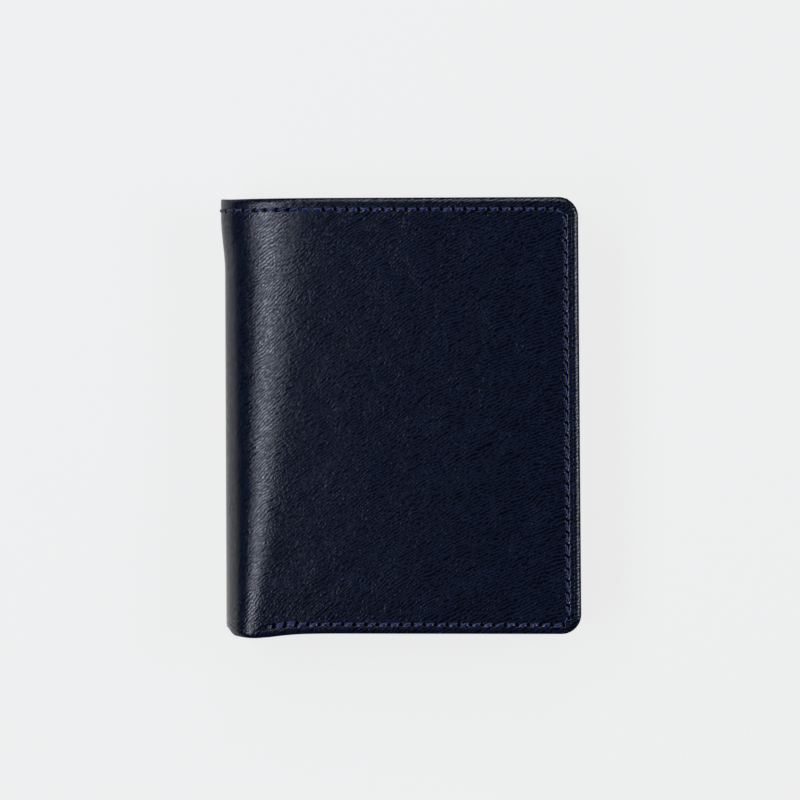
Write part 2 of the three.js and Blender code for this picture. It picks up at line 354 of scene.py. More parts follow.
def make_object(name: str, points: Array, faces: Sequence[Array],
                rims: Array | None = None) -> bpy.types.Object:
    """Puts points, in millimetres, and faces into a new smooth mesh object at the origin.

    Args:
        name: the object's name.
        points: one row of three for each vertex.
        faces: arrays of vertex indices, each array with its own number of corners.
        rims: border vertices of two equal halves; edges between them, within a half, are sharp.

    Returns:
        The object, linked to the scene.
    """
    mesh = bpy.data.meshes.new(name)
    loops = np.concatenate([f.ravel() for f in faces]).astype(np.int32)
    sizes = np.concatenate([np.full(len(f), f.shape[1]) for f in faces]).astype(np.int32)
    starts = np.concatenate([[0], np.cumsum(sizes)[:-1]]).astype(np.int32)
    mesh.vertices.add(len(points))
    mesh.vertices.foreach_set("co", (points * MM).astype(np.float32).ravel())
    mesh.loops.add(len(loops))
    mesh.loops.foreach_set("vertex_index", loops)
    mesh.polygons.add(len(sizes))
    mesh.polygons.foreach_set("loop_start", starts)
    mesh.polygons.foreach_set("loop_total", sizes)
    mesh.polygons.foreach_set("use_smooth", np.ones(len(sizes), bool))
    mesh.update(calc_edges=True)
    if rims is not None:
        edges = np.zeros(len(mesh.edges) * 2, np.int32)
        mesh.edges.foreach_get("vertices", edges)
        edges = edges.reshape(-1, 2)
        half = len(points) // 2
        one_half = (edges < half).all(axis=1) | (edges >= half).all(axis=1)
        on_rim = np.isin(edges, rims).all(axis=1) & one_half
        sharp = mesh.attributes.new("sharp_edge", "BOOLEAN", "EDGE")
        sharp.data.foreach_set("value", on_rim)
    mesh.validate()
    obj = bpy.data.objects.new(name, mesh)
    bpy.context.scene.collection.objects.link(obj)
    return obj


def add_flat_map(obj: bpy.types.Object, flat: Array) -> None:
    """Gives each corner its vertex's place on the flat pattern, a tenth of a metre to a unit."""
    mesh = obj.data
    index = np.zeros(len(mesh.loops), np.int32)
    mesh.loops.foreach_get("vertex_index", index)
    layer = mesh.uv_layers.new(name=FLAT_MAP)
    layer.uv.foreach_set("vector", (flat[index] * FLAT_UNIT).astype(np.float32).ravel())


def add_mask(obj: bpy.types.Object, name: str, values: Array) -> None:
    """Gives each vertex a number that a material reads by name."""
    attribute = obj.data.attributes.new(name, "FLOAT", "POINT")
    attribute.data.foreach_set("value", values.astype(np.float32))


def two_faced(name: str, outer: Array, inner: Array, flat: Array, faces: Sequence[Array],
              rims: Array | None = None) -> bpy.types.Object:
    """One object of a sheet's two grids of points.

    Formula: the inner grid's places on the flat pattern are set over by the sheet's mean
    thickness, so that the pattern runs across the cut edge.

    Args:
        name: the object's name.
        outer: (rows, columns, 3) points of the outer face.
        inner: the same for the inner face.
        flat: (rows, columns, 2) places on the flat pattern.
        faces: arrays of vertex indices, the outer grid's vertices first.
        rims: the border's vertices where it is sharp, or None.

    Returns:
        The sheet's object.
    """
    points = np.concatenate([outer.reshape(-1, 3), inner.reshape(-1, 3)])
    obj = make_object(name, points, faces, rims)
    thickness = np.linalg.norm(outer - inner, axis=-1).mean()
    places = flat.reshape(-1, 2)
    add_flat_map(obj, np.concatenate([places, places + thickness]))
    return obj


def slab(name: str, outer: Array, inner: Array, flat: Array, hole: Array | None,
         flip: bool) -> bpy.types.Object:
    """A closed sheet between two grids of points with the same rows and columns.

    Formula: the outer grid and the inner grid, joined by one strip of quads round their border.
    The border's edges are sharp, so that each face keeps its own slope up to the border.

    Args:
        name: the object's name.
        outer: (rows, columns, 3) points of the outer face.
        inner: the same for the inner face.
        flat: (rows, columns, 2) places on the flat pattern.
        hole: (rows, columns) mask of the painted shade in the stitch holes, or None.
        flip: whether the outer grid's quads have to be turned round to face outwards.

    Returns:
        The sheet's object.
    """
    rows, columns, _ = outer.shape
    count = rows * columns
    index = np.arange(count).reshape(rows, columns)
    rims = ((index[0], True), (index[-1], False), (index[:, 0], False), (index[:, -1], True))
    sides = [edge_quads(line[:-1], line[1:], count, turned != flip) for line, turned in rims]
    faces = [grid_quads(rows, columns, 0, flip), grid_quads(rows, columns, count, not flip), *sides]
    border = np.concatenate([line for line, _ in rims])
    obj = two_faced(name, outer, inner, flat, faces, np.concatenate([border, border + count]))
    # painted shade: the holes' mask, which the leather reads to paint them near black
    if hole is not None:
        add_mask(obj, HOLE_SHADE_MASK, np.concatenate([hole.ravel(), np.zeros(count)]))
    return obj


def ring(name: str, outer: Array, inner: Array, flat: Array) -> bpy.types.Object:
    """A closed sheet between two grids that run round and meet themselves.

    Args:
        name: the object's name.
        outer: (around, across, 3) points of the upper face, anticlockwise, from inside out.
        inner: the same for the lower face.
        flat: (around, across, 2) places on the flat pattern.

    Returns:
        The sheet's object.
    """
    around, across, _ = outer.shape
    count = around * across
    i, j = np.meshgrid(np.arange(around), np.arange(across - 1), indexing="ij")
    a, b = i * across + j, (i + 1) % around * across + j
    upper = np.stack([a, a + 1, b + 1, b], axis=-1).reshape(-1, 4)
    start = np.arange(around) * across
    after = np.roll(start, -1)
    rims = ((0, False), (across - 1, True))
    sides = [edge_quads(start + column, after + column, count, turned) for column, turned in rims]
    return two_faced(name, outer, inner, flat, [upper, upper[:, ::-1] + count, *sides])


def tubes(name: str, rings: Array, along: Array) -> bpy.types.Object:
    """Closed tubes, such as stitches, in one object.

    Args:
        name: the object's name.
        rings: (tubes, rings, sides, 3) points.
        along: (tubes, rings, sides, 2) places on each tube, for the twist of its thread.

    Returns:
        The tubes' object.
    """
    count, length, sides, _ = rings.shape
    size = length * sides
    k, i, j = np.meshgrid(np.arange(count), np.arange(length - 1), np.arange(sides), indexing="ij")
    a = k * size + i * sides + j
    b = k * size + i * sides + (j + 1) % sides
    quads = np.stack([a, b, b + sides, a + sides], axis=-1).reshape(-1, 4)
    first = (np.arange(count) * size)[:, None] + np.arange(sides)[None, ::-1]
    last = (np.arange(count) * size + size - sides)[:, None] + np.arange(sides)[None, :]
    obj = make_object(name, rings.reshape(-1, 3), [quads, first, last])
    add_flat_map(obj, along.reshape(-1, 2))
    return obj


# Finishes


class Graph:
    """A short hand for building a node material."""

    def __init__(self, name: str) -> None:
        """Starts an empty material."""
        self.material = bpy.data.materials.new(name)
        self.material.use_nodes = True
        self.tree = self.material.node_tree
        self.tree.nodes.clear()

    def put(self, socket: bpy.types.NodeSocket, value: object) -> None:
        """Links another node's output to a socket, or sets the socket's value."""
        if isinstance(value, bpy.types.NodeSocket):
            self.tree.links.new(value, socket)
        else:
            socket.default_value = value

    def node(self, kind: str, settings: dict | None = None, **inputs: object) -> bpy.types.Node:
        """Adds a node.

        Args:
            kind: the node's type.
            settings: its own properties.
            inputs: its inputs by name, with _ for a blank; a socket is linked, a value is set.

        Returns:
            The node.
        """
        node = self.tree.nodes.new(kind)
        for key, value in (settings or {}).items():
            setattr(node, key, value)
        for key, value in inputs.items():
            self.put(node.inputs[key.replace("_", " ")], value)
        return node

    def math(self, operation: str, *values: object) -> bpy.types.NodeSocket:
        """Adds a Math node and gives its result."""
        node = self.node("ShaderNodeMath", {"operation": operation})
        for socket, value in zip(node.inputs, values):
            self.put(socket, value)
        return node.outputs[0]

    def noise(self, source: bpy.types.NodeSocket, scale: float, detail: float) -> bpy.types.NodeSocket:
        """Adds a noise of the given scale and gives its value."""
        return self.node("ShaderNodeTexNoise", Vector=source, Scale=scale, Detail=detail).outputs["Fac"]

    def bands(self, source: bpy.types.NodeSocket, direction: str, scale: float,
              **inputs: object) -> bpy.types.NodeSocket:
        """Adds even bands that step along a direction and gives their value."""
        node = self.node("ShaderNodeTexWave", {"bands_direction": direction}, Vector=source,
                         Scale=scale, **inputs)
        return node.outputs["Fac"]

    def bump(self, height: bpy.types.NodeSocket, strength: float, distance: float) -> bpy.types.NodeSocket:
        """Turns a height into a normal."""
        return self.node("ShaderNodeBump", Strength=strength, Distance=distance, Height=height).outputs[0]

    def flat(self) -> bpy.types.NodeSocket:
        """The flat pattern's coordinates in millimetres."""
        source = self.node("ShaderNodeUVMap", {"uv_map": FLAT_MAP})
        size = (1.0 / FLAT_UNIT,) * 3
        return self.node("ShaderNodeMapping", Vector=source.outputs["UV"], Scale=size).outputs["Vector"]

    def strokes(self, source: bpy.types.NodeSocket, slope: float, easing: float, steady_x: float,
                cell: tuple[float, float]) -> bpy.types.NodeSocket:
        """Coordinates along and across curving strokes, a cell to a unit.

        Formula: the strokes follow y = slope x - easing x squared, so they lie flatter towards
        +X, and run on straight beyond steady_x; the first coordinate runs along their mean
        direction, the second counts them.
        """
        split = self.node("ShaderNodeSeparateXYZ", Vector=source)
        x, y = split.outputs["X"], split.outputs["Y"]
        cosine = 1.0 / math.hypot(1.0, slope)
        along = self.math("MULTIPLY_ADD", x, cosine / cell[0],
                          self.math("MULTIPLY", y, cosine * slope / cell[0]))
        held = self.math("MAXIMUM", x, steady_x)
        square = self.math("MULTIPLY", held, self.math("MULTIPLY_ADD", x, 2.0, self.math(
            "MULTIPLY", held, -1.0)))
        above = self.math("MULTIPLY_ADD", square, easing, self.math("MULTIPLY_ADD", x, -slope, y))
        return self.node("ShaderNodeCombineXYZ", X=along,
                         Y=self.math("MULTIPLY", above, cosine / cell[1])).outputs[0]

    def turned(self, source: bpy.types.NodeSocket, degrees: float) -> bpy.types.NodeSocket:
        """Coordinates along and across a direction turned by degrees."""
        mapping = self.node("ShaderNodeMapping", {"vector_type": "TEXTURE"}, Vector=source,
                            Rotation=(0.0, 0.0, math.radians(degrees)))
        return mapping.outputs["Vector"]

    def sway(self, source: bpy.types.NodeSocket, scale: float, reach: float) -> bpy.types.NodeSocket:
        """Coordinates pushed about by a noise of the given scale, by up to reach."""
        push = self.node("ShaderNodeTexNoise", Vector=source, Scale=scale, Detail=1.0)
        moved = self.node("ShaderNodeVectorMath", {"operation": "MULTIPLY_ADD"})
        for socket, value in zip(moved.inputs, (push.outputs["Color"], (reach,) * 3, source)):
            self.put(socket, value)
        return moved.outputs[0]

    def mix(self, factor: object, first: object, second: object) -> bpy.types.NodeSocket:
        """Mixes two colours."""
        node = self.node("ShaderNodeMix", {"data_type": "RGBA"})
        for place, value in ((0, factor), (6, first), (7, second)):
            self.put(node.inputs[place], value)
        return node.outputs[2]

    def finish(self, shader: bpy.types.NodeSocket) -> bpy.types.Material:
        """Links the shader to the output and gives the material."""
        self.node("ShaderNodeOutputMaterial", Surface=shader)
        return self.material

    def surface(self, sheen: float = 0.0, **inputs: object) -> bpy.types.Material:
        """Gives the material with one principled shader, its inputs named as for a node."""
        shader = self.node("ShaderNodeBsdfPrincipled", Sheen_Weight=sheen, **inputs)
        return self.finish(shader.outputs[0])


Colour = tuple[float, float, float, float]
# A wave texture makes one band to a unit at this scale.
BAND_PER_UNIT = math.pi / 10.0


@dataclass(frozen=True)
class LeatherFinish:
    """Smooth navy leather, grained with short slanting creases that lie close together."""

    name: str
    dark: Colour = (0.0024, 0.0077, 0.0262, 1.0)
    light: Colour = (0.0060, 0.0165, 0.0475, 1.0)
    # painted shade: the darker colour of the grain's troughs, where shade falls
    pit_shade: Colour = (0.0003, 0.0009, 0.0040, 1.0)
    roughness: float = 0.21
    pit_roughness: float = 0.05
    pit_specular: float = 0.21
    specular_gain: float = 0.64
    stroke_slope: float = 0.66
    stroke_easing: float = 0.0032
    steady_x: float = -26.0
    stroke_cell: tuple[float, float] = (0.85, 0.74)
    stroke_wander: float = 5.2
    stroke_depth: float = 0.021
    pebble_cell: float = 0.5
    pebble_share: float = 0.95
    pebble_detail: float = 0.5
    sway_scale: float = 0.15
    sway_reach: float = 2.4
    wave_scale: float = 0.06
    wave_depth: float = 0.12
    wave_detail: float = 1.0
    patch_scale: float = 0.16
    patch_detail: float = 2.0
    patch_strength: tuple[float, float] = (0.5, 0.75)
    # painted shade: the near-black colour put in the stitch holes
    hole: Colour = (0.0001, 0.0001, 0.0002, 1.0)

    def build(self) -> bpy.types.Material:
        """Makes the material.

        Formula: even bands, pushed about by a noise drawn out along them, make the strokes. A
        finer round noise breaks them up. The troughs between them are duller and get a painted
        shade, a darker colour. The stitch holes get a near-black painted shade and no specular
        reflection.
        """
        g = Graph(self.name)
        flat = g.flat()
        swayed = g.sway(flat, self.sway_scale, self.sway_reach)
        slanted = g.strokes(swayed, self.stroke_slope, self.stroke_easing, self.steady_x,
                            self.stroke_cell)
        bands = g.bands(slanted, "Y", BAND_PER_UNIT, Distortion=self.stroke_wander, Detail=1.0,
                        Detail_Scale=1.0 / BAND_PER_UNIT)
        pebbles = g.noise(flat, 1.0 / self.pebble_cell, self.pebble_detail)
        waves = g.noise(flat, self.wave_scale, self.wave_detail)
        patches = g.noise(flat, self.patch_scale, self.patch_detail)
        broken = g.math("MULTIPLY_ADD", pebbles, 2.0 * self.pebble_share, 1.0 - self.pebble_share)
        ridge = g.math("MULTIPLY", bands, broken)
        strength = g.math("MULTIPLY_ADD", patches, *self.patch_strength)
        height = g.math("MULTIPLY", g.math("MULTIPLY", ridge, strength), self.stroke_depth * MM)
        height = g.math("MULTIPLY_ADD", waves, self.wave_depth * MM, height)
        pits = g.math("SUBTRACT", 1.0, ridge)
        # painted shade: in the troughs the colour is mixed towards the darker trough colour
        tone = g.mix(pits, g.mix(patches, self.dark, self.light), self.pit_shade)
        # painted shade: the stitch holes are painted near black and lose their specular reflection
        hole = g.node("ShaderNodeAttribute", {"attribute_name": HOLE_SHADE_MASK}).outputs["Fac"]
        gloss = g.math("MULTIPLY_ADD", ridge, self.specular_gain, self.pit_specular)
        return g.surface(
            Base_Color=g.mix(hole, tone, self.hole),
            Roughness=g.math("MULTIPLY_ADD", pits, self.pit_roughness, self.roughness),
            Specular_IOR_Level=g.math("MULTIPLY", gloss, g.math("SUBTRACT", 1.0, hole)),
            Normal=g.bump(height, 1.0, 1.0),
        )


@dataclass(frozen=True)
class ClothFinish:
    """Navy twill lining: slanting ribs 0.45 mm apart, crossed by fine threads."""

    name: str
    dark: Colour = (0.008, 0.012, 0.028, 1.0)
    light: Colour = (0.02, 0.03, 0.06, 1.0)
    rib_scale: float = 0.31 / 0.45
    rib_wander: float = 0.4
    rib_slant: float = 45.0
    rib_depth: float = 0.08
    thread_floor: float = 0.5
    relief: float = 0.8
    roughness: float = 0.85
    sheen: float = 0.15

    def build(self) -> bpy.types.Material:
        """Makes the material from two crossing wave patterns, the threads twice as close."""
        g = Graph(self.name)
        flat = g.flat()
        ribs = g.bands(g.turned(flat, self.rib_slant), "X", self.rib_scale, Distortion=self.rib_wander)
        threads = g.bands(g.turned(flat, -self.rib_slant), "X", 2.0 * self.rib_scale)
        weave = g.math("MULTIPLY", ribs, g.math("ADD", threads, self.thread_floor))
        return g.surface(self.sheen, Base_Color=g.mix(weave, self.dark, self.light),
                         Roughness=self.roughness,
                         Normal=g.bump(weave, self.relief, self.rib_depth * MM))


@dataclass(frozen=True)
class ThreadFinish:
    """Royal blue waxed thread of twisted plies."""

    name: str
    # painted shade: the darker colour between the plies
    dark: Colour = (0.011, 0.021, 0.095, 1.0)
    light: Colour = (0.045, 0.082, 0.31, 1.0)
    ply_scale: float = 0.5
    ply_depth: float = 0.06
    relief: float = 0.8
    roughness: float = 0.55
    sheen: float = 0.1

    def build(self) -> bpy.types.Material:
        """Makes the material: slanting stripes along each stitch, with a painted shade, a darker colour,
        between the plies.
        """
        g = Graph(self.name)
        plies = g.bands(g.flat(), "DIAGONAL", self.ply_scale)
        return g.surface(self.sheen, Base_Color=g.mix(plies, self.dark, self.light),
                         Roughness=self.roughness,
                         Normal=g.bump(plies, self.relief, self.ply_depth * MM))


@dataclass(frozen=True)
class FilmFinish:
    """Clear flexible film with faint scuffs."""

    name: str
    tint: Colour = (0.35, 0.38, 0.42, 1.0)
    alpha: float = 0.16
    scuff_scale: float = 260.0
    scuff_detail: float = 5.0
    scuff_depth: float = 0.1
    relief: float = 0.3
    roughness: tuple[float, float] = (0.2, 0.05)

    def build(self) -> bpy.types.Material:
        """Makes the material: see-through and glossy, roughness varied by noise."""
        g = Graph(self.name)
        place = g.node("ShaderNodeTexCoord").outputs["Object"]
        scuffs = g.noise(place, self.scuff_scale, self.scuff_detail)
        return g.surface(Base_Color=self.tint, Roughness=g.math("MULTIPLY_ADD", scuffs, *self.roughness),
                         Alpha=self.alpha,
                         Normal=g.bump(scuffs, self.relief, self.scuff_depth * MM))


class Slot(Enum):
    """The record's material slots."""

    COVER = "cover_leather"
    INNER = "inner_leather"
    LINING = "note_lining"
    FILM = "window_film"
    THREAD = "thread"


class Wardrobe:
    """All finishes, built once and handed to the pieces."""

    def __init__(self) -> None:
        """Builds the material of each slot."""
        self.materials = {
            Slot.COVER: LeatherFinish("cover_leather").build(),
            Slot.INNER: LeatherFinish("inner_leather", roughness=0.32).build(),
            Slot.LINING: ClothFinish("note_lining").build(),
            Slot.FILM: FilmFinish("window_film").build(),
            Slot.THREAD: ThreadFinish("thread").build(),
        }

    def dress(self, obj: bpy.types.Object, slot: Slot) -> None:
        """Gives a piece its finish and names its slot."""
        obj.data.materials.clear()
        obj.data.materials.append(self.materials[slot])


# Seams


@dataclass(frozen=True)
class Stitch:
    """The form of one stitch: slanted, thick where it rises and thin where it dives."""

    pitch: float = 2.955
    start_share: float = 0.10
    end_share: float = 0.85
    slant: float = 0.22
    thick: float = 0.26
    thin: float = 0.13
    height: float = 0.10
    sink: float = 0.42
    rings: int = 8
    sides: int = 7

    def tubes(self, starts: Array, ends: Array) -> tuple[Array, Array, Array]:
        """Rings of each stitch on the flat pattern.

        Formula: the centre line runs from start to end and drifts across it by the slant; its
        height is a flattened arch that dips into the hole at both ends; the radius shrinks
        evenly from thick to thin.

        Args:
            starts: (n, 2) holes where the stitches rise.
            ends: (n, 2) holes where they dive.

        Returns:
            Places (n, rings, sides, 2), heights above the leather (n, rings, sides), and
            places on the thread (n, rings, sides, 2).
        """
        step = ends - starts
        length = np.linalg.norm(step, axis=1, keepdims=True)
        ahead = step / length
        across = np.stack([-ahead[:, 1], ahead[:, 0]], axis=1)
        t = np.linspace(0.0, 1.0, self.rings)
        share = self.start_share + (self.end_share - self.start_share) * t
        middle = starts[:, None] + step[:, None] * share[None, :, None]
        drift = self.slant * (2.0 * t - 1.0)
        middle = middle + across[:, None] * drift[None, :, None]
        arch = 1.0 - (2.0 * t - 1.0) ** 4
        height = -self.sink + (self.sink + self.height) * arch
        radius = self.thick + (self.thin - self.thick) * t
        angle = np.linspace(0.0, 2.0 * math.pi, self.sides, endpoint=False)
        side = radius[:, None] * np.cos(angle)[None, :]
        lift = height[:, None] + radius[:, None] * np.sin(angle)[None, :]
        places = middle[:, :, None] + across[:, None, None] * side[None, :, :, None]
        heights = np.broadcast_to(lift, places.shape[:3])
        run = share[None, :, None] * length[:, :, None] + 0.0 * heights
        girth = 0.0 * heights + angle[None, None, :] * self.thick
        return places, heights, np.stack([run, girth], axis=-1)


STITCH = Stitch()


@dataclass(frozen=True)
class SeamPlan:
    """Where the seams run, by inset from the cover's edges, as measured in the photograph."""

    high_at_spine: float = 2.75
    high_at_corner: float = 2.81
    low_at_spine: float = 2.55
    low_at_corner: float = 2.45
    column: float = 3.28
    last_top: tuple[float, float] = (7.6, 5.68)
    column_top: float = 4.76
    column_low: float = 4.13
    column_pitch: float = 3.04
    low_corner: float = 4.58
    low_pitch: float = 2.91
    low_count: int = 24
    first_stitch: float = 2.65
    double_gap: float = 0.5
    corner_gap: float = 2.0
    end_gap: float = 1.5


PLAN = SeamPlan()


def row_of_holes(start: Sequence[float], end: Sequence[float], pitch: float = STITCH.pitch) -> Array:
    """Evenly spaced holes from start to end, as near the pitch as fits a whole number."""
    first, last = np.array(start), np.array(end)
    count = max(1, round(float(np.linalg.norm(last - first)) / pitch))
    return first + (last - first) * np.linspace(0.0, 1.0, count + 1)[:, None]


@dataclass(frozen=True)
class Seam:
    """Stitches along rows of holes on one stretch of the shell."""

    name: str
    rows: tuple[Array, ...]
    surface: Callable[[Array, Array, Array], Array]

    def build(self) -> bpy.types.Object:
        """Makes the seam's stitches on its surface."""
        starts = np.concatenate([row[:-1] for row in self.rows])
        ends = np.concatenate([row[1:] for row in self.rows])
        places, heights, along = STITCH.tubes(starts, ends)
        return tubes(self.name, self.surface(places[..., 0], places[..., 1], -heights), along)


# The shell


@dataclass(frozen=True)
class EdgeRelief:
    """The outer face near its edge: a tooled crease, the seam's channel and its holes."""

    crease_at: float = 1.8
    crease_width: float = 0.11
    crease_depth: float = 0.035
    channel_width: float = 0.6
    channel_depth: float = 0.035
    hole_half_length: float = 0.42
    hole_half_width: float = 0.32
    hole_depth: float = 1.0
    hole_shift: tuple[float, float] = (0.0, -0.22)
    lip_at: float = 0.58
    lip_width: float = 0.16
    lip_reach: float = 0.42
    lip_shift: float = 0.15
    lip_height: float = 0.02
    far_lip_share: float = 0.5
    reach: float = 1.8

    def depth(self, inset: Array, seam_gap: Array, places: Array, holes: Array) -> tuple[Array, Array]:
        """How far the face is pressed in.

        Formula: a bell across the crease and a wider bell across the seam's line. Each hole is
        a slit cut from upper left to lower right: e to the minus fourth power of the distance
        from its middle, measured in its half length and half width. A low lip runs along its
        lower left side, and half as high along the other.

        Args:
            inset: distance of each point from the cover's edge.
            seam_gap: distance of each point from the seam's line, large where there is none.
            places: each point's place on the flat pattern, last axis of two.
            holes: (n, 2) the seam's holes.

        Returns:
            The depth, and the mask of the holes, a little wider than they are.
        """
        pressed = self.crease_depth * bump(inset - self.crease_at, self.crease_width)
        pressed = pressed + self.channel_depth * bump(seam_gap, self.channel_width)
        mask = np.zeros(inset.shape)
        close = np.abs(seam_gap) < self.reach
        if not len(holes) or not close.any():
            return pressed, mask
        gaps = places[close][:, None] - (holes[None] + np.array(self.hole_shift))
        nearest = np.argmin((gaps ** 2).sum(axis=2), axis=1)
        gap = gaps[np.arange(len(gaps)), nearest]
        along = (gap[:, 0] - gap[:, 1]) / math.sqrt(2.0)
        across = (gap[:, 0] + gap[:, 1]) / math.sqrt(2.0)
        away = np.hypot(along / self.hole_half_length, across / self.hole_half_width)
        slit = np.exp(-away ** 4)
        side = np.where(across < 0.0, 1.0, self.far_lip_share)
        lip = side * bump(np.abs(across) - self.lip_at, self.lip_width) \
            * bump(along - self.lip_shift * side, self.lip_reach)
        pressed[close] = pressed[close] * (1.0 - slit) + self.hole_depth * slit - self.lip_height * lip
        # painted shade: the mask that paints the holes near black, a little wider than the slit
        mask[close] = 1.0 - (1.0 - slit) ** 3
        return pressed, mask


RELIEF = EdgeRelief()
EDGE_INSETS = np.array([
    0.0, 0.1, 0.24, 0.4, 0.56, 0.72, 0.9, 1.1, 1.3, 1.55, 1.68, 1.76, 1.84, 1.92, 2.05, 2.3, 2.55,
    2.75, 2.92, 3.08, 3.25, 3.45, 3.65, 3.85, 4.1, 4.5, 5.0,
])
STITCH_OFFSETS = np.array([-0.56, -0.27, 0.0, 0.27, 0.56])
LINE_MARGIN = 0.2


def lines_at_holes(holes: Array, low: float, high: float) -> Array:
    """Grid lines between low and high, gathered closely round each hole of a row."""
    lines = (holes[:, None] + STITCH_OFFSETS[None, :]).ravel()
    kept = lines[(lines > low + LINE_MARGIN) & (lines < high - LINE_MARGIN)]
    return np.concatenate([[low], np.sort(kept), [high]])


def filled(lines: Array, count: int) -> Array:
    """The lines, with the middles of their widest gaps added until there are count of them."""
    while len(lines) < count:
        gap = int(np.argmax(np.diff(lines)))
        lines = np.insert(lines, gap + 1, (lines[gap] + lines[gap + 1]) / 2.0)
    return lines


def corner_disc(p: Array, q: Array) -> tuple[Array, Array, Array, Array]:
    """Maps the square of lines at a corner to a quarter disc.

    Formula: the larger of a point's two distances from the square's inner corner is the
    radius, and the ratio of the two is the angle.

    Args:
        p: distance from the square's inner corner one way, negative outside the square.
        q: the same the other way.

    Returns:
        Whether each point is in the square, its radius, and its two distances once mapped.
    """
    radius = np.maximum(p, q)
    safe = np.maximum(radius, 1e-9)
    angle = np.where(p >= q, q / safe, 2.0 - p / safe) * math.pi / 4.0
    return (p > 0.0) & (q > 0.0), radius, radius * np.cos(angle), radius * np.sin(angle)


class Shell:
    """The cover, its lining and the note wall: sheets that run the whole way round."""

    bend_columns: int = 72
    inner_bend_columns: int = 44
    plain_columns: int = 40
    plain_rows: int = 18
    pattern_lines: int = 23
    turn_steps: int = 721
    plain_insets: tuple[float, ...] = (0.0, 0.05, 0.15, 0.4, 1.0, 3.0)

    def __init__(self, form: WalletForm, wardrobe: Wardrobe) -> None:
        """Works out the seams that the sheets' lines follow."""
        self.form = form
        self.wardrobe = wardrobe
        self.layers = (
            Layer("cover", "cover_leather", depth=0.0, thickness=1.4, edge_radius=0.6, low=form.low_y,
                  high=form.high_y, free_inset=0.0, edge_width=1.45, edge_drop=0.58),
            Layer("note_lining", "note_lining", depth=1.5, thickness=0.4, edge_radius=0.12,
                  low=form.low_y + 1.6, high=form.high_y - 6.5, free_inset=1.6, edge_width=0.12,
                  edge_drop=0.1),
            Layer("note_wall", "inner_leather", depth=2.9, thickness=0.6, edge_radius=0.28,
                  low=form.low_y + 1.0, high=form.high_y - 6.0, free_inset=1.2, edge_width=0.28,
                  edge_drop=0.2),
        )
        self.seam_high = form.high_y - PLAN.high_at_spine
        self.seam_low = form.low_y + PLAN.low_at_spine
        self.turns = np.linspace(0.0, 180.0, self.turn_steps)
        self.cover_ends: dict[Zone, tuple[Sequence[float], Sequence[float]]] = {}
        self.spine_run = self.run_lengths(form.spine, np.array([self.seam_high]))[:, 0]
        self.inner_run = self.run_lengths(form.inner_fold, np.array([self.seam_high]))[:, 0]
        self.front_seam = self.front_rows()
        self.flap_seam = self.flap_rows()
        self.centre_seam = self.centre_rows()
        self.spine_holes = self.holes_round_spine()
        self.inner_holes = self.holes_round_inner_fold()

    def run_lengths(self, surface: Callable[[Array, Array, Array], Array], y: Array) -> Array:
        """Lengths along a fold's outer face from turn 0 to each listed turn, a column to a y."""
        turn, lines = np.meshgrid(self.turns, y, indexing="ij")
        points = surface(turn, lines, np.zeros(turn.shape))
        steps = np.linalg.norm(np.diff(points, axis=0), axis=2)
        return np.concatenate([np.zeros((1, len(y))), np.cumsum(steps, axis=0)])

    def pattern_x(self, y: Array) -> tuple[Array, Array]:
        """Where the cover's flat pattern begins to leave the spine and the centre panel, at y.

        Formula: the pattern's x is the front panel's own x, less the length along the sheet.
        """
        f = self.form
        lines = np.linspace(f.low_y, f.high_y, self.pattern_lines)
        total = np.interp(y, lines, self.run_lengths(f.spine, lines)[-1])
        back = f.roll.tangent_x(y) - total
        return back, back - (f.inner_fold_x - f.roll.extreme(y) - f.roll.back_reach)

    def front_rows(self) -> tuple[Array, ...]:
        """Rows of holes on the front panel: along the top, down the free edge, and back.

        Formula: places are set out on the panel as it lies and taken back to its own lines.
        The first two stitches at the spine end of the bottom row are sewn twice.
        """
        f, p = self.form, PLAN
        column = f.free_x - p.column
        last = f.free_x - p.last_top[0]
        count = int((last - f.roll.tangent_x(np.array(self.seam_high))) / STITCH.pitch)
        top_x = np.append(last - STITCH.pitch * np.arange(count, -1, -1), f.free_x - p.last_top[1])
        share = (top_x - top_x[0]) / (top_x[-1] - top_x[0])
        top_y = self.seam_high - share * (p.high_at_corner - p.high_at_spine)
        column_top = np.array([column, f.high_y - p.column_top])
        column_low = np.array([column, f.low_y + p.column_low])
        down = row_of_holes(column_top, column_low, p.column_pitch)
        low_x = f.free_x - p.low_corner - p.low_pitch * np.arange(p.low_count + 1)
        low_x = np.append(low_x, low_x[-1] - p.first_stitch)
        share = (low_x - low_x[-1]) / (low_x[0] - low_x[-1])
        low_y = self.seam_low + share * (p.low_at_corner - p.low_at_spine)
        top = np.stack([f.front_lines(top_x, top_y), top_y], axis=1)
        back = np.stack([f.front_lines(low_x, low_y), low_y], axis=1)
        double = back[-3:] + np.array([0.0, p.double_gap])
        return top, down, back, np.array([top[-1], column_top]), np.array([column_low, back[0]]), double

    def flap_rows(self) -> tuple[Array, ...]:
        """Rows of holes on the inner flap, in the same order as the front's."""
        f = self.form
        column = f.flap_end_x + PLAN.column
        high = self.front_seam[1][0, 1]
        low = self.front_seam[1][-1, 1]
        top = row_of_holes((f.inner_fold_x, self.seam_high), (column + PLAN.corner_gap, self.seam_high))
        down = row_of_holes((column, high), (column, low), PLAN.column_pitch)
        back = row_of_holes((column + PLAN.corner_gap, self.seam_low),
                            (f.inner_fold_x - PLAN.end_gap, self.seam_low))
        return top, down, back, np.array([top[-1], down[0]]), np.array([down[-1], back[0]])

    def centre_rows(self) -> tuple[Array, ...]:
        """Rows of holes on the centre panel: top and bottom."""
        left, right = self.form.spine_tangent_x, self.form.inner_fold_x
        return (row_of_holes((right, self.seam_high), (left, self.seam_high)),
                row_of_holes((left + PLAN.end_gap, self.seam_low), (right - PLAN.end_gap, self.seam_low)))

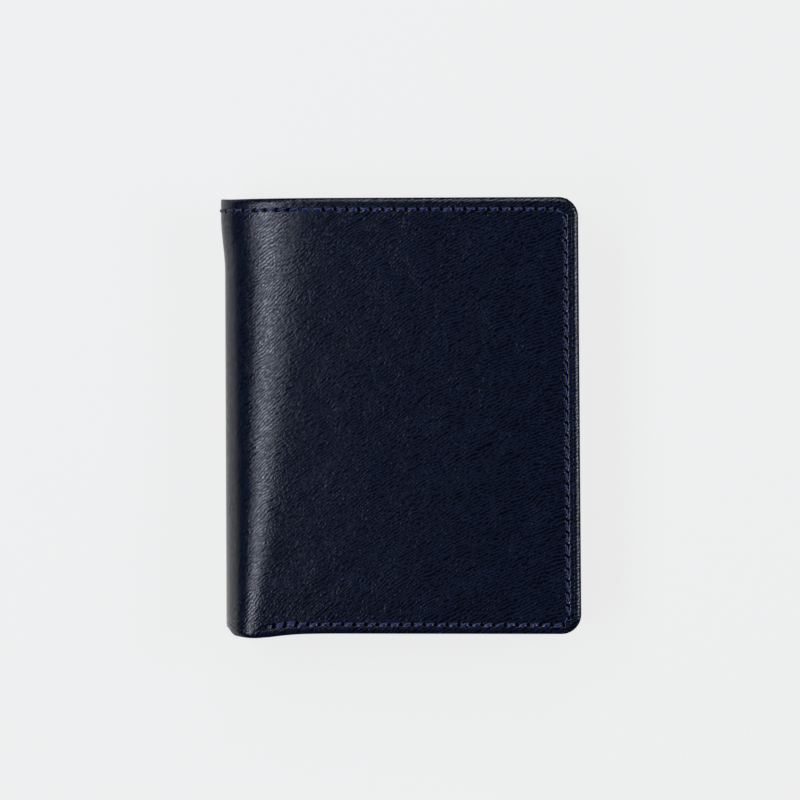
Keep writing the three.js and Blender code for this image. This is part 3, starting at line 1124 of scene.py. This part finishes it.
    def holes_round_spine(self) -> Array:
        """The top row's holes round the spine, by length along it, on from the front's row.

        The last one lies beyond the spine, where the front panel's row begins.
        """
        total = self.spine_run[-1]
        first = self.form.front(*(np.array([v]) for v in (*self.front_seam[0][0], 0.0)))[0][0]
        lead = first - self.form.roll.tangent_x(np.array(self.seam_high))
        count = int((total + lead) / STITCH.pitch)
        return total + lead - STITCH.pitch * np.arange(count, -1, -1)

    def holes_round_inner_fold(self) -> Array:
        """The top row's holes round the inner fold, by length along it."""
        total = self.inner_run[-1]
        count = round(total / STITCH.pitch)
        return np.linspace(0.0, total, count + 1)

    def y_lines(self, layer: Layer) -> Array:
        """Lines of a sheet along Y; the cover's are gathered at its edges and its holes."""
        if layer.name != "cover":
            insets = np.array(self.plain_insets)
            low = layer.low + insets
            high = layer.high - insets[::-1]
            return np.concatenate([low, np.linspace(low[-1], high[0], self.plain_rows)[1:-1], high])
        low = layer.low + EDGE_INSETS
        high = layer.high - EDGE_INSETS[::-1]
        inner = lines_at_holes(self.front_seam[1][:, 1], low[-1], high[0])
        return np.concatenate([low, inner[1:-1], high])

    def face_depths(self, layer: Layer, inset: Array) -> tuple[Array, Array]:
        """Depths of a sheet's two faces, drawn together at its edge.

        Formula: the outer face by a parabola, edge_width wide and edge_drop deep, the inner
        face by a quarter circle.
        """
        r = layer.edge_radius
        wide = np.clip(1.0 - inset / layer.edge_width, 0.0, 1.0)
        round_ = np.clip(1.0 - inset / r, 0.0, 1.0)
        pull = layer.edge_drop * wide ** 2
        back = r * (1.0 - np.sqrt(1.0 - round_ ** 2))
        return layer.depth + pull, layer.depth + layer.thickness - back

    def bend(self, layer: Layer, bend: Bend) -> bpy.types.Object:
        """One stretch of a sheet round a fold.

        Formula: columns step evenly through the turn, rows follow the sheet's lines along Y,
        and both faces take their depth from the distance to the nearer edge.

        Args:
            layer: the sheet.
            bend: the stretch, its two bodies and what it stands for.

        Returns:
            The piece, set in place.
        """
        spine = bend in SPINE_BENDS
        surface = self.form.spine if spine else self.form.inner_fold
        columns = self.bend_columns if spine else self.inner_bend_columns
        turn = np.linspace(bend.start_turn, bend.end_turn, columns + 1)
        lines = self.y_lines(layer)
        tt, yy = np.meshgrid(turn, lines, indexing="ij")
        inset = np.minimum(yy - layer.low, layer.high - yy)
        outer, inner = self.face_depths(layer, inset)
        if spine:
            keen = 1.0 - self.form.roll.edge_keenness * np.sin(np.radians(tt)) ** 4
            outer = layer.depth + (outer - layer.depth) * keen
        run = self.spine_run if spine else self.inner_run
        distance = np.interp(tt, self.turns, run)
        lengths = self.run_lengths(surface, lines)
        steps = np.rint(turn / self.turns[1]).astype(int)
        hole = None
        if layer.name == "cover":
            runs = self.spine_holes if spine else self.inner_holes
            holes = np.stack([runs, np.full(len(runs), self.seam_high)], axis=1)
            places = np.stack([distance, yy], axis=-1)
            pressed, hole = RELIEF.depth(inset, yy - self.seam_high, places, holes)
            outer = outer + pressed
        start = self.pattern_x(lines)[0 if spine else 1]
        flat = np.stack([start + (1.0 if spine else -1.0) * lengths[steps], yy], axis=-1)
        name = f"{layer.name}_{bend.zone.value}"
        obj = slab(name, surface(tt, yy, outer), surface(tt, yy, inner), flat, hole,
                   flip=not spine)
        self.blend(obj, bend, surface, layer, columns + 1, len(lines))
        return obj

    def blend(self, obj: bpy.types.Object, bend: Bend, surface: Callable, layer: Layer,
              rows: int, columns: int) -> None:
        """Works out where a piece's stretch starts and ends along its chord, and bakes the piece's
        place into its mesh.

        Formula: the chord runs from the furthest point of the first row to the nearest point of the
        last; the cover keeps the two ends.
        """
        middle = np.zeros(2)
        depth = np.full(2, layer.depth + layer.thickness / 2.0)
        ends = surface(np.array([bend.start_turn, bend.end_turn]), middle, depth) * MM
        chord = ends[1] - ends[0]
        chord = chord / np.linalg.norm(chord)
        co = np.zeros(len(obj.data.vertices) * 3, np.float32)
        obj.data.vertices.foreach_get("co", co)
        along = (co.reshape(2, rows, columns, 3) @ chord).astype(float)
        start = ends[0] + chord * (along[:, 0].max() - ends[0] @ chord)
        end = ends[0] + chord * (along[:, -1].min() - ends[0] @ chord)
        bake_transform(obj)
        if layer.name == "cover":
            self.cover_ends[bend.zone] = (tuple(start), tuple(end))

    def panel(self, layer: Layer, zone: Zone) -> bpy.types.Object:
        """One flat stretch of a sheet, with rounded corners at a free end.

        Formula: a grid of lines; in each free corner corner_disc maps the square of lines to
        a quarter disc, ring by ring.

        Args:
            layer: the sheet.
            zone: the front panel, the centre panel or the inner flap.

        Returns:
            The piece, in place.
        """
        f = self.form
        cover = layer.name == "cover"
        insets = EDGE_INSETS if cover else np.array(self.plain_insets)
        radius = float(insets[-1])
        if zone is Zone.FRONT:
            near, far, surface, seam = f.spine_tangent_x, f.free_x, f.front, self.front_seam
        elif zone is Zone.FLAP:
            near, far, surface, seam = f.inner_fold_x, f.flap_end_x, f.flap, self.flap_seam
        else:
            near, far, surface, seam = f.inner_fold_x, f.spine_tangent_x, f.centre, self.centre_seam
        toward = math.copysign(1.0, far - near)
        free = zone is not Zone.CENTRE
        length = abs(far - near) - (layer.free_inset if free else 0.0)
        straight = length - radius if free else length
        if cover:
            back = seam[1] if zone is Zone.CENTRE else seam[2]
            high, low = (lines_at_holes(np.sort(toward * (row[:, 0] - near)), 0.0, straight)
                         for row in (seam[0], back))
            high, low = filled(high, len(low)), filled(low, len(high))
        else:
            high = low = np.linspace(0.0, straight, self.plain_columns)
        if free:
            high, low = (np.concatenate([a[:-1], length - insets[::-1]]) for a in (high, low))
        lines = self.y_lines(layer)
        rise = np.clip((lines - layer.low - radius) / (layer.high - layer.low - 2.0 * radius), 0.0, 1.0)
        aa = low[:, None] + (high - low)[:, None] * rise[None, :]
        yy = np.broadcast_to(lines, aa.shape)
        aa, yy, inset = self.round_corners(layer, aa, yy, length, radius, free)
        outer, inner = self.face_depths(layer, inset)
        x = near + toward * aa
        places = np.stack([x, yy], axis=-1)
        hole = None
        if cover:
            gap = self.seam_gap(zone, x, yy)
            pressed, hole = RELIEF.depth(inset, gap, places, np.concatenate(seam))
            outer = outer + pressed
        flat = places.copy()
        if zone is Zone.FRONT:
            flat[..., 0] = surface(x, yy, 0.0 * x)[..., 0]
        elif zone is Zone.FLAP:
            flat[..., 0] = self.pattern_x(yy)[1] - self.inner_run[-1] - aa
        else:
            flat[..., 0] = self.pattern_x(yy)[1] + f.inner_fold_x - surface(x, yy, 0.0 * x)[..., 0]
        name = f"{layer.name}_{zone.value}"
        obj = slab(name, surface(x, yy, outer), surface(x, yy, inner), flat, hole,
                   flip=(zone is Zone.CENTRE) != (toward < 0))
        body = {Zone.FRONT: "front_panel", Zone.FLAP: "inner_flap"}.get(zone, "centre_panel")
        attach(obj, body)
        return obj

    def round_corners(self, layer: Layer, a: Array, y: Array, length: float, radius: float,
                      free: bool) -> tuple[Array, Array, Array]:
        """Maps the free corners' squares of lines to quarter discs, and measures the inset."""
        middle = (layer.low + layer.high) / 2.0
        half = (layer.high - layer.low) / 2.0
        up = np.sign(y - middle)
        q = np.abs(y - middle) - (half - radius)
        if not free:
            return a, y, radius - q
        p = a - (length - radius)
        in_corner, ring_radius, new_p, new_q = corner_disc(p, q)
        new_a = np.where(in_corner, length - radius + new_p, a)
        new_y = np.where(in_corner, middle + up * (half - radius + new_q), y)
        return new_a, new_y, radius - ring_radius

    def seam_gap(self, zone: Zone, x: Array, y: Array) -> Array:
        """Distance of points from a panel's seam line."""
        f = self.form
        if zone is Zone.FRONT:
            top_row, back_row = self.front_seam[0], self.front_seam[2][::-1]
            high = np.interp(x, top_row[:, 0], top_row[:, 1])
            low = np.interp(x, back_row[:, 0], back_row[:, 1])
        else:
            high, low = self.seam_high, self.seam_low
        top = np.abs(y - high)
        bottom = np.abs(y - low)
        if zone is Zone.CENTRE:
            return np.minimum(top, bottom)
        if zone is Zone.FRONT:
            column = f.free_x - PLAN.column
            outside = x - column
        else:
            column = f.flap_end_x + PLAN.column
            outside = column - x
        beyond_y = np.maximum(y - high, low - y)
        side = np.hypot(x - column, np.maximum(beyond_y, 0.0))
        rows = np.hypot(np.minimum(top, bottom), np.maximum(outside, 0.0))
        return np.minimum(side, rows)

    def stitches(self) -> list[bpy.types.Object]:
        """The cover's stitches, stretch by stretch; those on a panel ride on the panel's body."""
        f = self.form
        made = []
        panels = (
            ("seam_front_thread", self.front_seam, f.front, "front_panel", ("seam_front",)),
            ("seam_flap_thread", self.flap_seam, f.flap, "inner_flap", ("seam_flap",)),
            ("seam_centre_thread", self.centre_seam, f.centre, "centre_panel",
             ("seam_centre_top", "seam_centre_bottom")),
        )
        for name, rows, surface, body, nodes in panels:
            obj = Seam(name, rows, surface).build()
            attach(obj, body)
            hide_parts(*nodes)
            made.append(obj)
        made += self.fold_stitches(SPINE_BENDS, self.spine_holes, f.spine, self.spine_run)
        made += self.fold_stitches(INNER_BENDS, self.inner_holes, f.inner_fold, self.inner_run)
        for obj in made:
            self.wardrobe.dress(obj, Slot.THREAD)
        return made

    def fold_stitches(self, bends: Sequence[Bend], runs: Array, surface: Callable,
                      run: Array) -> list[bpy.types.Object]:
        """Stitches round a fold, in one object for each stretch. Each stitch belongs to the stretch
        that holds its middle, and follows the fold's face from hole to hole.
        """

        def on_fold(s: Array, y: Array, depth: Array) -> Array:
            """Places given by their length along the fold, straight on beyond its end."""
            beyond = np.maximum(s - run[-1], 0.0)
            points = surface(np.interp(s, run, self.turns), y, depth)
            return points + beyond[..., None] * np.array([1.0, 0.0, 0.0])

        made = []
        middles = np.interp((runs[:-1] + runs[1:]) / 2.0, run, self.turns - 1e-6)
        for bend in bends:
            inside = (middles >= bend.start_turn) & (middles < bend.end_turn)
            if not inside.any():
                continue
            starts, ends = (np.stack([side[inside], np.full(inside.sum(), self.seam_high)], axis=1)
                            for side in (runs[:-1], runs[1:]))
            places, heights, along = STITCH.tubes(starts, ends)
            obj = tubes(f"seam_{bend.zone.value}_thread",
                        on_fold(places[..., 0], places[..., 1], -heights), along)
            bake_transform(obj)
            if bend.stands_for:
                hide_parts(f"seam_{bend.stands_for}")
            made.append(obj)
        return made

    def build(self) -> list[bpy.types.Object]:
        """Makes every sheet of the shell and its stitches."""
        pieces: dict[tuple[str, Zone], bpy.types.Object] = {}
        for layer in self.layers:
            for zone in (Zone.FRONT, Zone.CENTRE, Zone.FLAP):
                obj = self.panel(layer, zone)
                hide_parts(f"{layer.name}_{zone.value}")
                pieces[layer.name, zone] = obj
            for bend in SPINE_BENDS + INNER_BENDS:
                obj = self.bend(layer, bend)
                if bend.stands_for:
                    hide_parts(f"{layer.name}_{bend.stands_for}")
                pieces[layer.name, bend.zone] = obj
            for zone in Zone:
                self.wardrobe.dress(pieces[layer.name, zone], Slot(layer.slot))
        self.declare_lining()
        return [*pieces.values(), *self.stitches()]

    def declare_lining(self) -> None:
        """Works out the line along the middle of the lining round each stretch of the spine, at y 0;
        nothing is made of it. The inner fold's stretches are narrower than a sheet may be, so each
        goes with the panel beside it.
        """
        f = self.form
        lining = self.layers[1]
        for bend in SPINE_BENDS:
            turn = np.linspace(bend.start_turn, bend.end_turn, self.bend_columns)
            middle = np.full(turn.shape, lining.depth + lining.thickness / 2.0)
            line = f.spine(turn, np.zeros(turn.shape), middle)


# The interior


def rounded_grid(a: Array, b: Array, size: tuple[float, float], radius: float) -> tuple[Array, Array, Array]:
    """A grid on a rectangle whose four corners are quarter discs.

    Formula: corner_disc at the corners; elsewhere the lines stay straight.

    Args:
        a: lines across, from 0 to size[0].
        b: lines along, from 0 to size[1].
        size: the rectangle's sides.
        radius: the corner radius; the last lines before each edge lie within it.

    Returns:
        The places across and along, and the distance from the nearest edge.
    """
    aa, bb = np.meshgrid(a, b, indexing="ij")
    middle = np.array(size) / 2.0
    side_a, side_b = np.sign(aa - middle[0]), np.sign(bb - middle[1])
    p = np.abs(aa - middle[0]) - (middle[0] - radius)
    q = np.abs(bb - middle[1]) - (middle[1] - radius)
    in_corner, ring_radius, new_p, new_q = corner_disc(p, q)
    inner = middle - radius
    new_a = np.where(in_corner, middle[0] + side_a * (inner[0] + new_p), aa)
    new_b = np.where(in_corner, middle[1] + side_b * (inner[1] + new_q), bb)
    return new_a, new_b, radius - ring_radius


class Mouth(Enum):
    """The side of a pocket that is open."""

    LEFT = "left"
    TOP = "top"


@dataclass(frozen=True)
class Notch:
    """A thumb notch: a round bite out of the middle of a pocket's mouth."""

    radius: float = 16.0
    depth: float = 4.0
    softness: float = 0.7

    def bite(self, away: Array) -> Array:
        """How far the mouth stands back, at a distance along it from the notch's middle.

        Formula: the circle's depth below the mouth's line, and 0 outside it, joined by the
        smooth maximum: half of the sum of the value and the root of its square plus softness
        squared.
        """
        arc = np.sqrt(np.maximum(self.radius ** 2 - away ** 2, 0.0)) - (self.radius - self.depth)
        return (arc + np.sqrt(arc * arc + self.softness ** 2)) / 2.0


@dataclass(frozen=True)
class FineEdge:
    """The edge of a piece of thin leather: rounded, with a creased line beside it."""

    radius: float
    crease_at: float = 1.5
    crease_width: float = 0.2
    crease_depth: float = 0.1

    def pull(self, inset: Array) -> Array:
        """How far each face is drawn in at a distance from the edge: a quarter circle."""
        near = np.clip(self.radius - inset, 0.0, self.radius)
        return self.radius - np.sqrt(np.maximum(self.radius ** 2 - near ** 2, 0.0))

    def crease(self, away: Array) -> Array:
        """How deep the crease is pressed at a distance from the creased edge."""
        return self.crease_depth * bump(away - self.crease_at, self.crease_width)


@dataclass(frozen=True)
class Pocket:
    """A flat pocket of thin leather, laid on others and open on one side."""

    node: str
    body: str
    mouth: Mouth
    face: float
    notch: Notch | None = None
    slope: float = 0.0
    corner: float = 2.0
    edge: FineEdge = FineEdge(0.36)
    swell: float = 0.12
    mouth_lines: tuple[float, ...] = (0.0, 0.03, 0.1, 0.22, 0.38, 0.6, 0.9, 1.15, 1.32, 1.5, 1.68,
                                      1.85, 2.0)
    side_lines: tuple[float, ...] = (0.0, 0.04, 0.14, 0.36, 0.8, 2.0)
    columns: int = 30
    rows: int = 70

    def build(self) -> bpy.types.Object:
        """Makes the pocket in the place of its CAD solid.

        Formula: across runs from the mouth inwards and along runs beside it. The mouth's line
        stands back by the notch or the slope, and that fades out evenly to the far edge. The
        face is drawn in at the edges by a quarter round, pressed in along the crease, and
        swells slightly in the middle.
        """
        low, high = corners(self.node)
        left = self.mouth is Mouth.LEFT
        size = (high[0] - low[0], high[1] - low[1]) if left else (high[1] - low[1], high[0] - low[0])
        near, far = np.array(self.mouth_lines), size[0] - np.array(self.side_lines)[::-1]
        a = np.concatenate([near, np.linspace(near[-1], far[0], self.columns)[1:-1], far])
        side = np.array(self.side_lines)
        b = np.concatenate([side, np.linspace(side[-1], size[1] - side[-1], self.rows)[1:-1],
                            size[1] - side[::-1]])
        across, along, inset = rounded_grid(a, b, size, self.corner)
        back = np.zeros(across.shape)
        if self.notch:
            back = self.notch.bite(along - size[1] / 2.0)
        back = back + self.slope * (1.0 - along / size[1])
        fade = 1.0 - across / size[0]
        shifted = across + back * fade
        pull = self.edge.pull(inset)
        thickness = high[2] - low[2]
        rise = self.swell * np.sin(math.pi * np.clip(across / size[0], 0.0, 1.0)) \
            * np.sin(math.pi * np.clip(along / size[1], 0.0, 1.0))
        top = thickness - pull - self.edge.crease(across) + rise
        if left:
            x, y = low[0] + shifted, low[1] + along
        else:
            x, y = low[0] + along, high[1] - shifted
        base = low[2] if self.face > 0.0 else high[2]
        outer = points_at(x, y, base + self.face * top)
        inner = points_at(x, y, base + self.face * (pull + rise))
        flat = np.stack([x, y], axis=-1)
        obj = slab(self.node + "_leather", outer, inner, flat, None, flip=left != (self.face > 0.0))
        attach(obj, self.body)
        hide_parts(self.node)
        return obj


@dataclass(frozen=True)
class WindowFrame:
    """The leather frame round the identity window, with a slot to push a card out."""

    node: str = "id_window_frame"
    body: str = "centre_panel"
    border_side: float = 7.75
    border_end: float = 10.0
    outer_corner: float = 2.0
    window_corner: float = 4.0
    slot_width: float = 16.0
    slot_depth: float = 5.0
    slot_corner: float = 2.5
    edge: FineEdge = FineEdge(0.38)
    side_steps: int = 40
    corner_steps: int = 12
    line_shares: tuple[float, ...] = (0.0, 0.004, 0.013, 0.03, 0.055, 0.09, 0.12, 0.14, 0.16, 0.2,
                                      0.3, 0.5, 0.7, 0.85, 0.93, 0.965, 0.985, 0.996, 1.0)

    def outlines(self, low: Array, high: Array) -> tuple[Array, Array]:
        """Matching points of the frame's outer outline and of its window, going round.

        Formula: straight stretches between the corners, and quarter circles in step at them;
        on the top side the outer line dips into the slot while the window's goes on straight.
        """
        window_low = low[:2] + (self.border_side, self.border_end)
        window_high = high[:2] - (self.border_side, self.border_end)
        corner_share = np.linspace(0.0, 1.0, self.corner_steps, endpoint=False)
        side_share = np.linspace(0.0, 1.0, self.side_steps, endpoint=False)

        def quarter(centre: Sequence[float], radius: float, start: float, turn: float) -> Array:
            """A quarter circle, without its last point."""
            angle = np.radians(start + turn * corner_share)
            return np.array(centre) + radius * np.stack([np.cos(angle), np.sin(angle)], axis=1)

        def line(start: Sequence[float], end: Sequence[float], share: Array) -> Array:
            """A straight stretch, without its last point."""
            return np.array(start) + (np.array(end) - np.array(start)) * share[:, None]

        def four(a: Array, b: Array, r: float, upper_side: list[Array]) -> Array:
            """A rounded rectangle from the lower right corner on, with its upper side given."""
            return np.concatenate([
                quarter((b[0] - r, a[1] + r), r, -90.0, 90.0),
                line((b[0], a[1] + r), (b[0], b[1] - r), side_share),
                quarter((b[0] - r, b[1] - r), r, 0.0, 90.0),
                *upper_side,
                quarter((a[0] + r, b[1] - r), r, 90.0, 90.0),
                line((a[0], b[1] - r), (a[0], a[1] + r), side_share),
                quarter((a[0] + r, a[1] + r), r, 180.0, 90.0),
                line((a[0] + r, a[1]), (b[0] - r, a[1]), side_share),
            ])

        middle = (low[0] + high[0]) / 2.0
        right, left = middle + self.slot_width / 2.0, middle - self.slot_width / 2.0
        rs, top, floor = self.slot_corner, high[1], high[1] - self.slot_depth
        slotted = [
            line((high[0] - self.outer_corner, top), (right + rs, top), corner_share),
            quarter((right + rs, top - rs), rs, 90.0, 90.0),
            quarter((right - rs, floor + rs), rs, 0.0, -90.0),
            line((right - rs, floor), (left + rs, floor), corner_share),
            quarter((left + rs, floor + rs), rs, -90.0, -90.0),
            quarter((left - rs, top - rs), rs, 0.0, 90.0),
            line((left - rs, top), (low[0] + self.outer_corner, top), corner_share),
        ]
        ri = self.window_corner
        marks = (window_high[0] - ri, right + rs, right, right - rs, left + rs, left, left - rs,
                 window_low[0] + ri)
        plain = [line((start, window_high[1]), (end, window_high[1]), corner_share)
                 for start, end in zip(marks, marks[1:])]
        return (four(low[:2], high[:2], self.outer_corner, slotted),
                four(window_low, window_high, ri, plain))

    def build(self) -> bpy.types.Object:
        """Makes the frame as a closed ring, its face drawn in at both edges and creased."""
        low, high = corners(self.node)
        outline, window = self.outlines(low, high)
        t = np.array(self.line_shares)[None, :, None]
        places = window[:, None] + (outline - window)[:, None] * t
        width = np.linalg.norm(outline - window, axis=1)[:, None]
        from_window = width * t[..., 0]
        inset = np.minimum(from_window, width - from_window)
        pull = self.edge.pull(inset)
        height = high[2] - pull - self.edge.crease(from_window)
        top, bottom = (np.concatenate([places, z[..., None]], axis=2) for z in (height, low[2] + pull))
        obj = ring(self.node + "_leather", top, bottom, places)
        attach(obj, self.body)
        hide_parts(self.node)
        return obj


@dataclass(frozen=True)
class FlatFace:
    """A level face that stitches lie on: its height, and whether it looks up or down."""

    z: float
    side: float

    def point(self, x: Array, y: Array, depth: Array) -> Array:
        """A point inside the face by depth, or proud of it where depth is negative."""
        return points_at(x, y, self.z - self.side * depth)


class Interior:
    """Pockets, identity window and the stitches that hold them."""

    side_gap: float = 1.8
    foot_gap: float = 2.0
    head_gap: float = 1.6
    mouth_gap: float = 0.6
    step_gap: float = 0.3
    slip_foot_gap: float = 0.4
    slip_head_gap: float = 1.2

    def __init__(self, form: WalletForm, wardrobe: Wardrobe) -> None:
        """Keeps what the pieces are fitted to."""
        self.form = form
        self.wardrobe = wardrobe
        self.pockets = (
            *(Pocket(f"card_pocket_front_{k}", "front_panel", Mouth.LEFT, -1.0) for k in (1, 2, 3)),
            Pocket("card_pocket_front_4", "front_panel", Mouth.LEFT, -1.0, Notch()),
            *(Pocket(f"card_pocket_flap_{k}", "inner_flap", Mouth.TOP, -1.0) for k in (1, 2)),
            Pocket("card_pocket_flap_3", "inner_flap", Mouth.TOP, -1.0, Notch()),
            Pocket("slip_pocket", "centre_panel", Mouth.TOP, 1.0, slope=8.0),
        )

    def seam(self, name: str, body: str, face: FlatFace, rows: tuple[Array, ...]) -> bpy.types.Object:
        """Stitches on one level face."""
        obj = Seam(name, rows, face.point).build()
        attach(obj, body)
        self.wardrobe.dress(obj, Slot.THREAD)
        return obj

    def stepped_stitches(self, panel: str, body: str, count: int, mouth: Mouth) -> list[bpy.types.Object]:
        """Stitches that hold a panel's stepped pockets.

        Formula: two rows run on each pocket's bare step, from just inside its mouth to just
        before the next pocket's, and the last pocket has a row across their far ends.

        Args:
            panel: the panel's part of the pockets' names.
            body: the body that they ride on.
            count: how many pockets there are.
            mouth: the side on which they open.

        Returns:
            One seam for each pocket.
        """
        boxes = [corners(f"card_pocket_{panel}_{k + 1}") for k in range(count)]
        made = []
        for k, (low, high) in enumerate(boxes):
            left, right = low[0] + self.side_gap, high[0] - self.side_gap
            foot, head = low[1] + self.foot_gap, high[1] - self.head_gap
            last = k == count - 1
            if mouth is Mouth.LEFT:
                start, end = low[0] + self.mouth_gap, right if last else boxes[k + 1][0][0] - self.step_gap
                rows = [row_of_holes((start, y), (end, y)) for y in (head, foot)]
                across = row_of_holes((right, head), (right, foot))
            else:
                start, end = high[1] - self.mouth_gap, foot if last else boxes[k + 1][1][1] + self.step_gap
                rows = [row_of_holes((x, start), (x, end)) for x in (left, right)]
                across = row_of_holes((left, foot), (right, foot))
            rows += [across] if last else []
            made.append(self.seam(f"pocket_seam_{panel}_{k + 1}", body, FlatFace(low[2], -1.0), tuple(rows)))
        return made

    def window_stitches(self) -> list[bpy.types.Object]:
        """Stitches that hold the window's frame and the slip pocket behind it."""
        low, high = corners("id_window_frame")
        left, right = low[0] + self.side_gap, high[0] - self.side_gap
        foot, head = low[1] + self.foot_gap, high[1] - self.head_gap
        posts = ((left, head), (left, foot), (right, foot), (right, head))
        rows = tuple(row_of_holes(start, end) for start, end in zip(posts, posts[1:]))
        made = [self.seam("window_frame_seam", "centre_panel", FlatFace(high[2], 1.0), rows)]
        slip_high = corners("slip_pocket")[1]
        row = row_of_holes((right, high[1] + self.slip_foot_gap), (right, slip_high[1] - self.slip_head_gap))
        made.append(self.seam("slip_pocket_seam", "centre_panel", FlatFace(slip_high[2], 1.0), (row,)))
        return made

    def build(self) -> list[bpy.types.Object]:
        """Makes every piece of the interior."""
        made = [pocket.build() for pocket in self.pockets]
        made.append(WindowFrame().build())
        for obj in made:
            self.wardrobe.dress(obj, Slot.INNER)
        made += self.stepped_stitches("front", "front_panel", 4, Mouth.LEFT)
        made += self.stepped_stitches("flap", "inner_flap", 3, Mouth.TOP) + self.window_stitches()
        self.wardrobe.dress(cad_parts["id_window_film"], Slot.FILM)
        return made


# Studio


@dataclass(frozen=True)
class Softbox:
    """A rectangular studio light that looks at the wallet; its first size lies level."""

    name: str
    place: tuple[float, float, float]
    size: tuple[float, float]
    watts: float
    tint: tuple[float, float, float] = (1.0, 1.0, 1.0)

    def build(self) -> bpy.types.Object:
        """Makes the light and turns it to the wallet."""
        data = bpy.data.lights.new(self.name, "AREA")
        data.shape = "RECTANGLE"
        data.size, data.size_y = self.size
        data.energy = self.watts
        data.color = self.tint
        obj = bpy.data.objects.new(self.name, data)
        obj.location = self.place
        aim = Vector((0.0, 0.0, 0.0)) - Vector(self.place)
        obj.rotation_euler = aim.to_track_quat("-Z", "Y").to_euler()
        bpy.context.scene.collection.objects.link(obj)
        return obj


@dataclass(frozen=True)
class Studio:
    """Floor, lights and the camera straight above the wallet, as in the photograph."""

    lens: float = 200.0
    sensor: float = 36.0
    field_mm: float = 200.0
    image_px: float = 800.0
    centre_px: tuple[float, float] = (400.25, 417.2)
    roll_deg: float = 0.45
    plain_share: float = 0.85
    floor_tone: Colour = (0.925, 0.925, 0.92, 1.0)
    floor_half: float = 3.0
    floor_paint: Colour = (0.82, 0.82, 0.83, 1.0)
    fill_tone: Colour = (0.9, 0.94, 1.0, 1.0)
    fill_strength: float = 0.03
    view_end: float = 10.0
    boxes: tuple[Softbox, ...] = (
        Softbox("key_box", (-0.385, 0.05, 0.685), (0.9, 0.28), 3.9, (0.80, 0.84, 1.0)),
        Softbox("edge_box", (0.79, 0.1, 0.71), (0.5, 0.36), 2.8, (0.88, 0.93, 1.0)),
        Softbox("head_box", (0.1, 0.79, 0.71), (0.5, 0.36), 1.6, (0.88, 0.93, 1.0)),
    )

    def camera(self, top_z: float) -> None:
        """Sets the camera above the point that the picture's centre looks at."""
        data = bpy.data.cameras.new("camera")
        data.lens = self.lens
        data.sensor_width = self.sensor
        data.clip_end = self.view_end
        obj = bpy.data.objects.new("camera", data)
        scale = self.field_mm / self.image_px
        x = -(self.centre_px[0] - self.image_px / 2.0) * scale
        y = (self.centre_px[1] - self.image_px / 2.0) * scale
        distance = self.field_mm * self.lens / self.sensor
        obj.matrix_world = Matrix.Translation((x * MM, y * MM, (top_z + distance) * MM)) @ (
            Matrix.Rotation(math.radians(-self.roll_deg), 4, "Z"))
        bpy.context.scene.collection.objects.link(obj)
        bpy.context.scene.camera = obj

    def floor(self) -> None:
        """Makes the pale floor, which shows plain to the camera and keeps a soft shadow."""
        half = self.floor_half
        mesh = bpy.data.meshes.new("floor")
        places = [(-half, -half, 0.0), (half, -half, 0.0), (half, half, 0.0), (-half, half, 0.0)]
        mesh.from_pydata(places, [], [(0, 1, 2, 3)])
        obj = bpy.data.objects.new("floor", mesh)
        bpy.context.scene.collection.objects.link(obj)
        g = Graph("floor")
        path = g.node("ShaderNodeLightPath")
        plain = g.node("ShaderNodeEmission", Color=self.floor_tone, Strength=1.0)
        lit = g.node("ShaderNodeBsdfDiffuse", Color=self.floor_paint)
        direct = g.math("ADD", path.outputs["Is Camera Ray"], path.outputs["Is Glossy Ray"])
        direct = g.math("MINIMUM", g.math("ADD", direct, path.outputs["Is Transmission Ray"]), 1.0)
        seen = g.math("MULTIPLY", direct, self.plain_share)
        blend = g.node("ShaderNodeMixShader")
        for socket, value in zip(blend.inputs, (seen, lit.outputs[0], plain.outputs[0])):
            g.put(socket, value)
        mesh.materials.append(g.finish(blend.outputs[0]))

    def world(self) -> None:
        """Sets the dim, even light that fills the shadows."""
        world = bpy.data.worlds.new("studio")
        world.use_nodes = True
        background = world.node_tree.nodes["Background"]
        background.inputs["Color"].default_value = self.fill_tone
        background.inputs["Strength"].default_value = self.fill_strength
        bpy.context.scene.world = world

    def build(self, top_z: float) -> None:
        """Makes the whole studio."""
        self.camera(top_z)
        self.floor()
        self.world()
        for box in self.boxes:
            box.build()
        bpy.context.scene.view_settings.view_transform = "Standard"


def main() -> None:
    """Builds the studio and the wallet, and reports each piece."""
    logging.basicConfig(level=logging.INFO, format="%(name)s: %(message)s")
    form = WalletForm.from_frame()
    Studio().build(form.top_z)
    wardrobe = Wardrobe()
    for obj in Shell(form, wardrobe).build() + Interior(form, wardrobe).build():
        log.info("%s: %d faces", obj.name, len(obj.data.polygons))


if __name__ == "__main__":
    main()
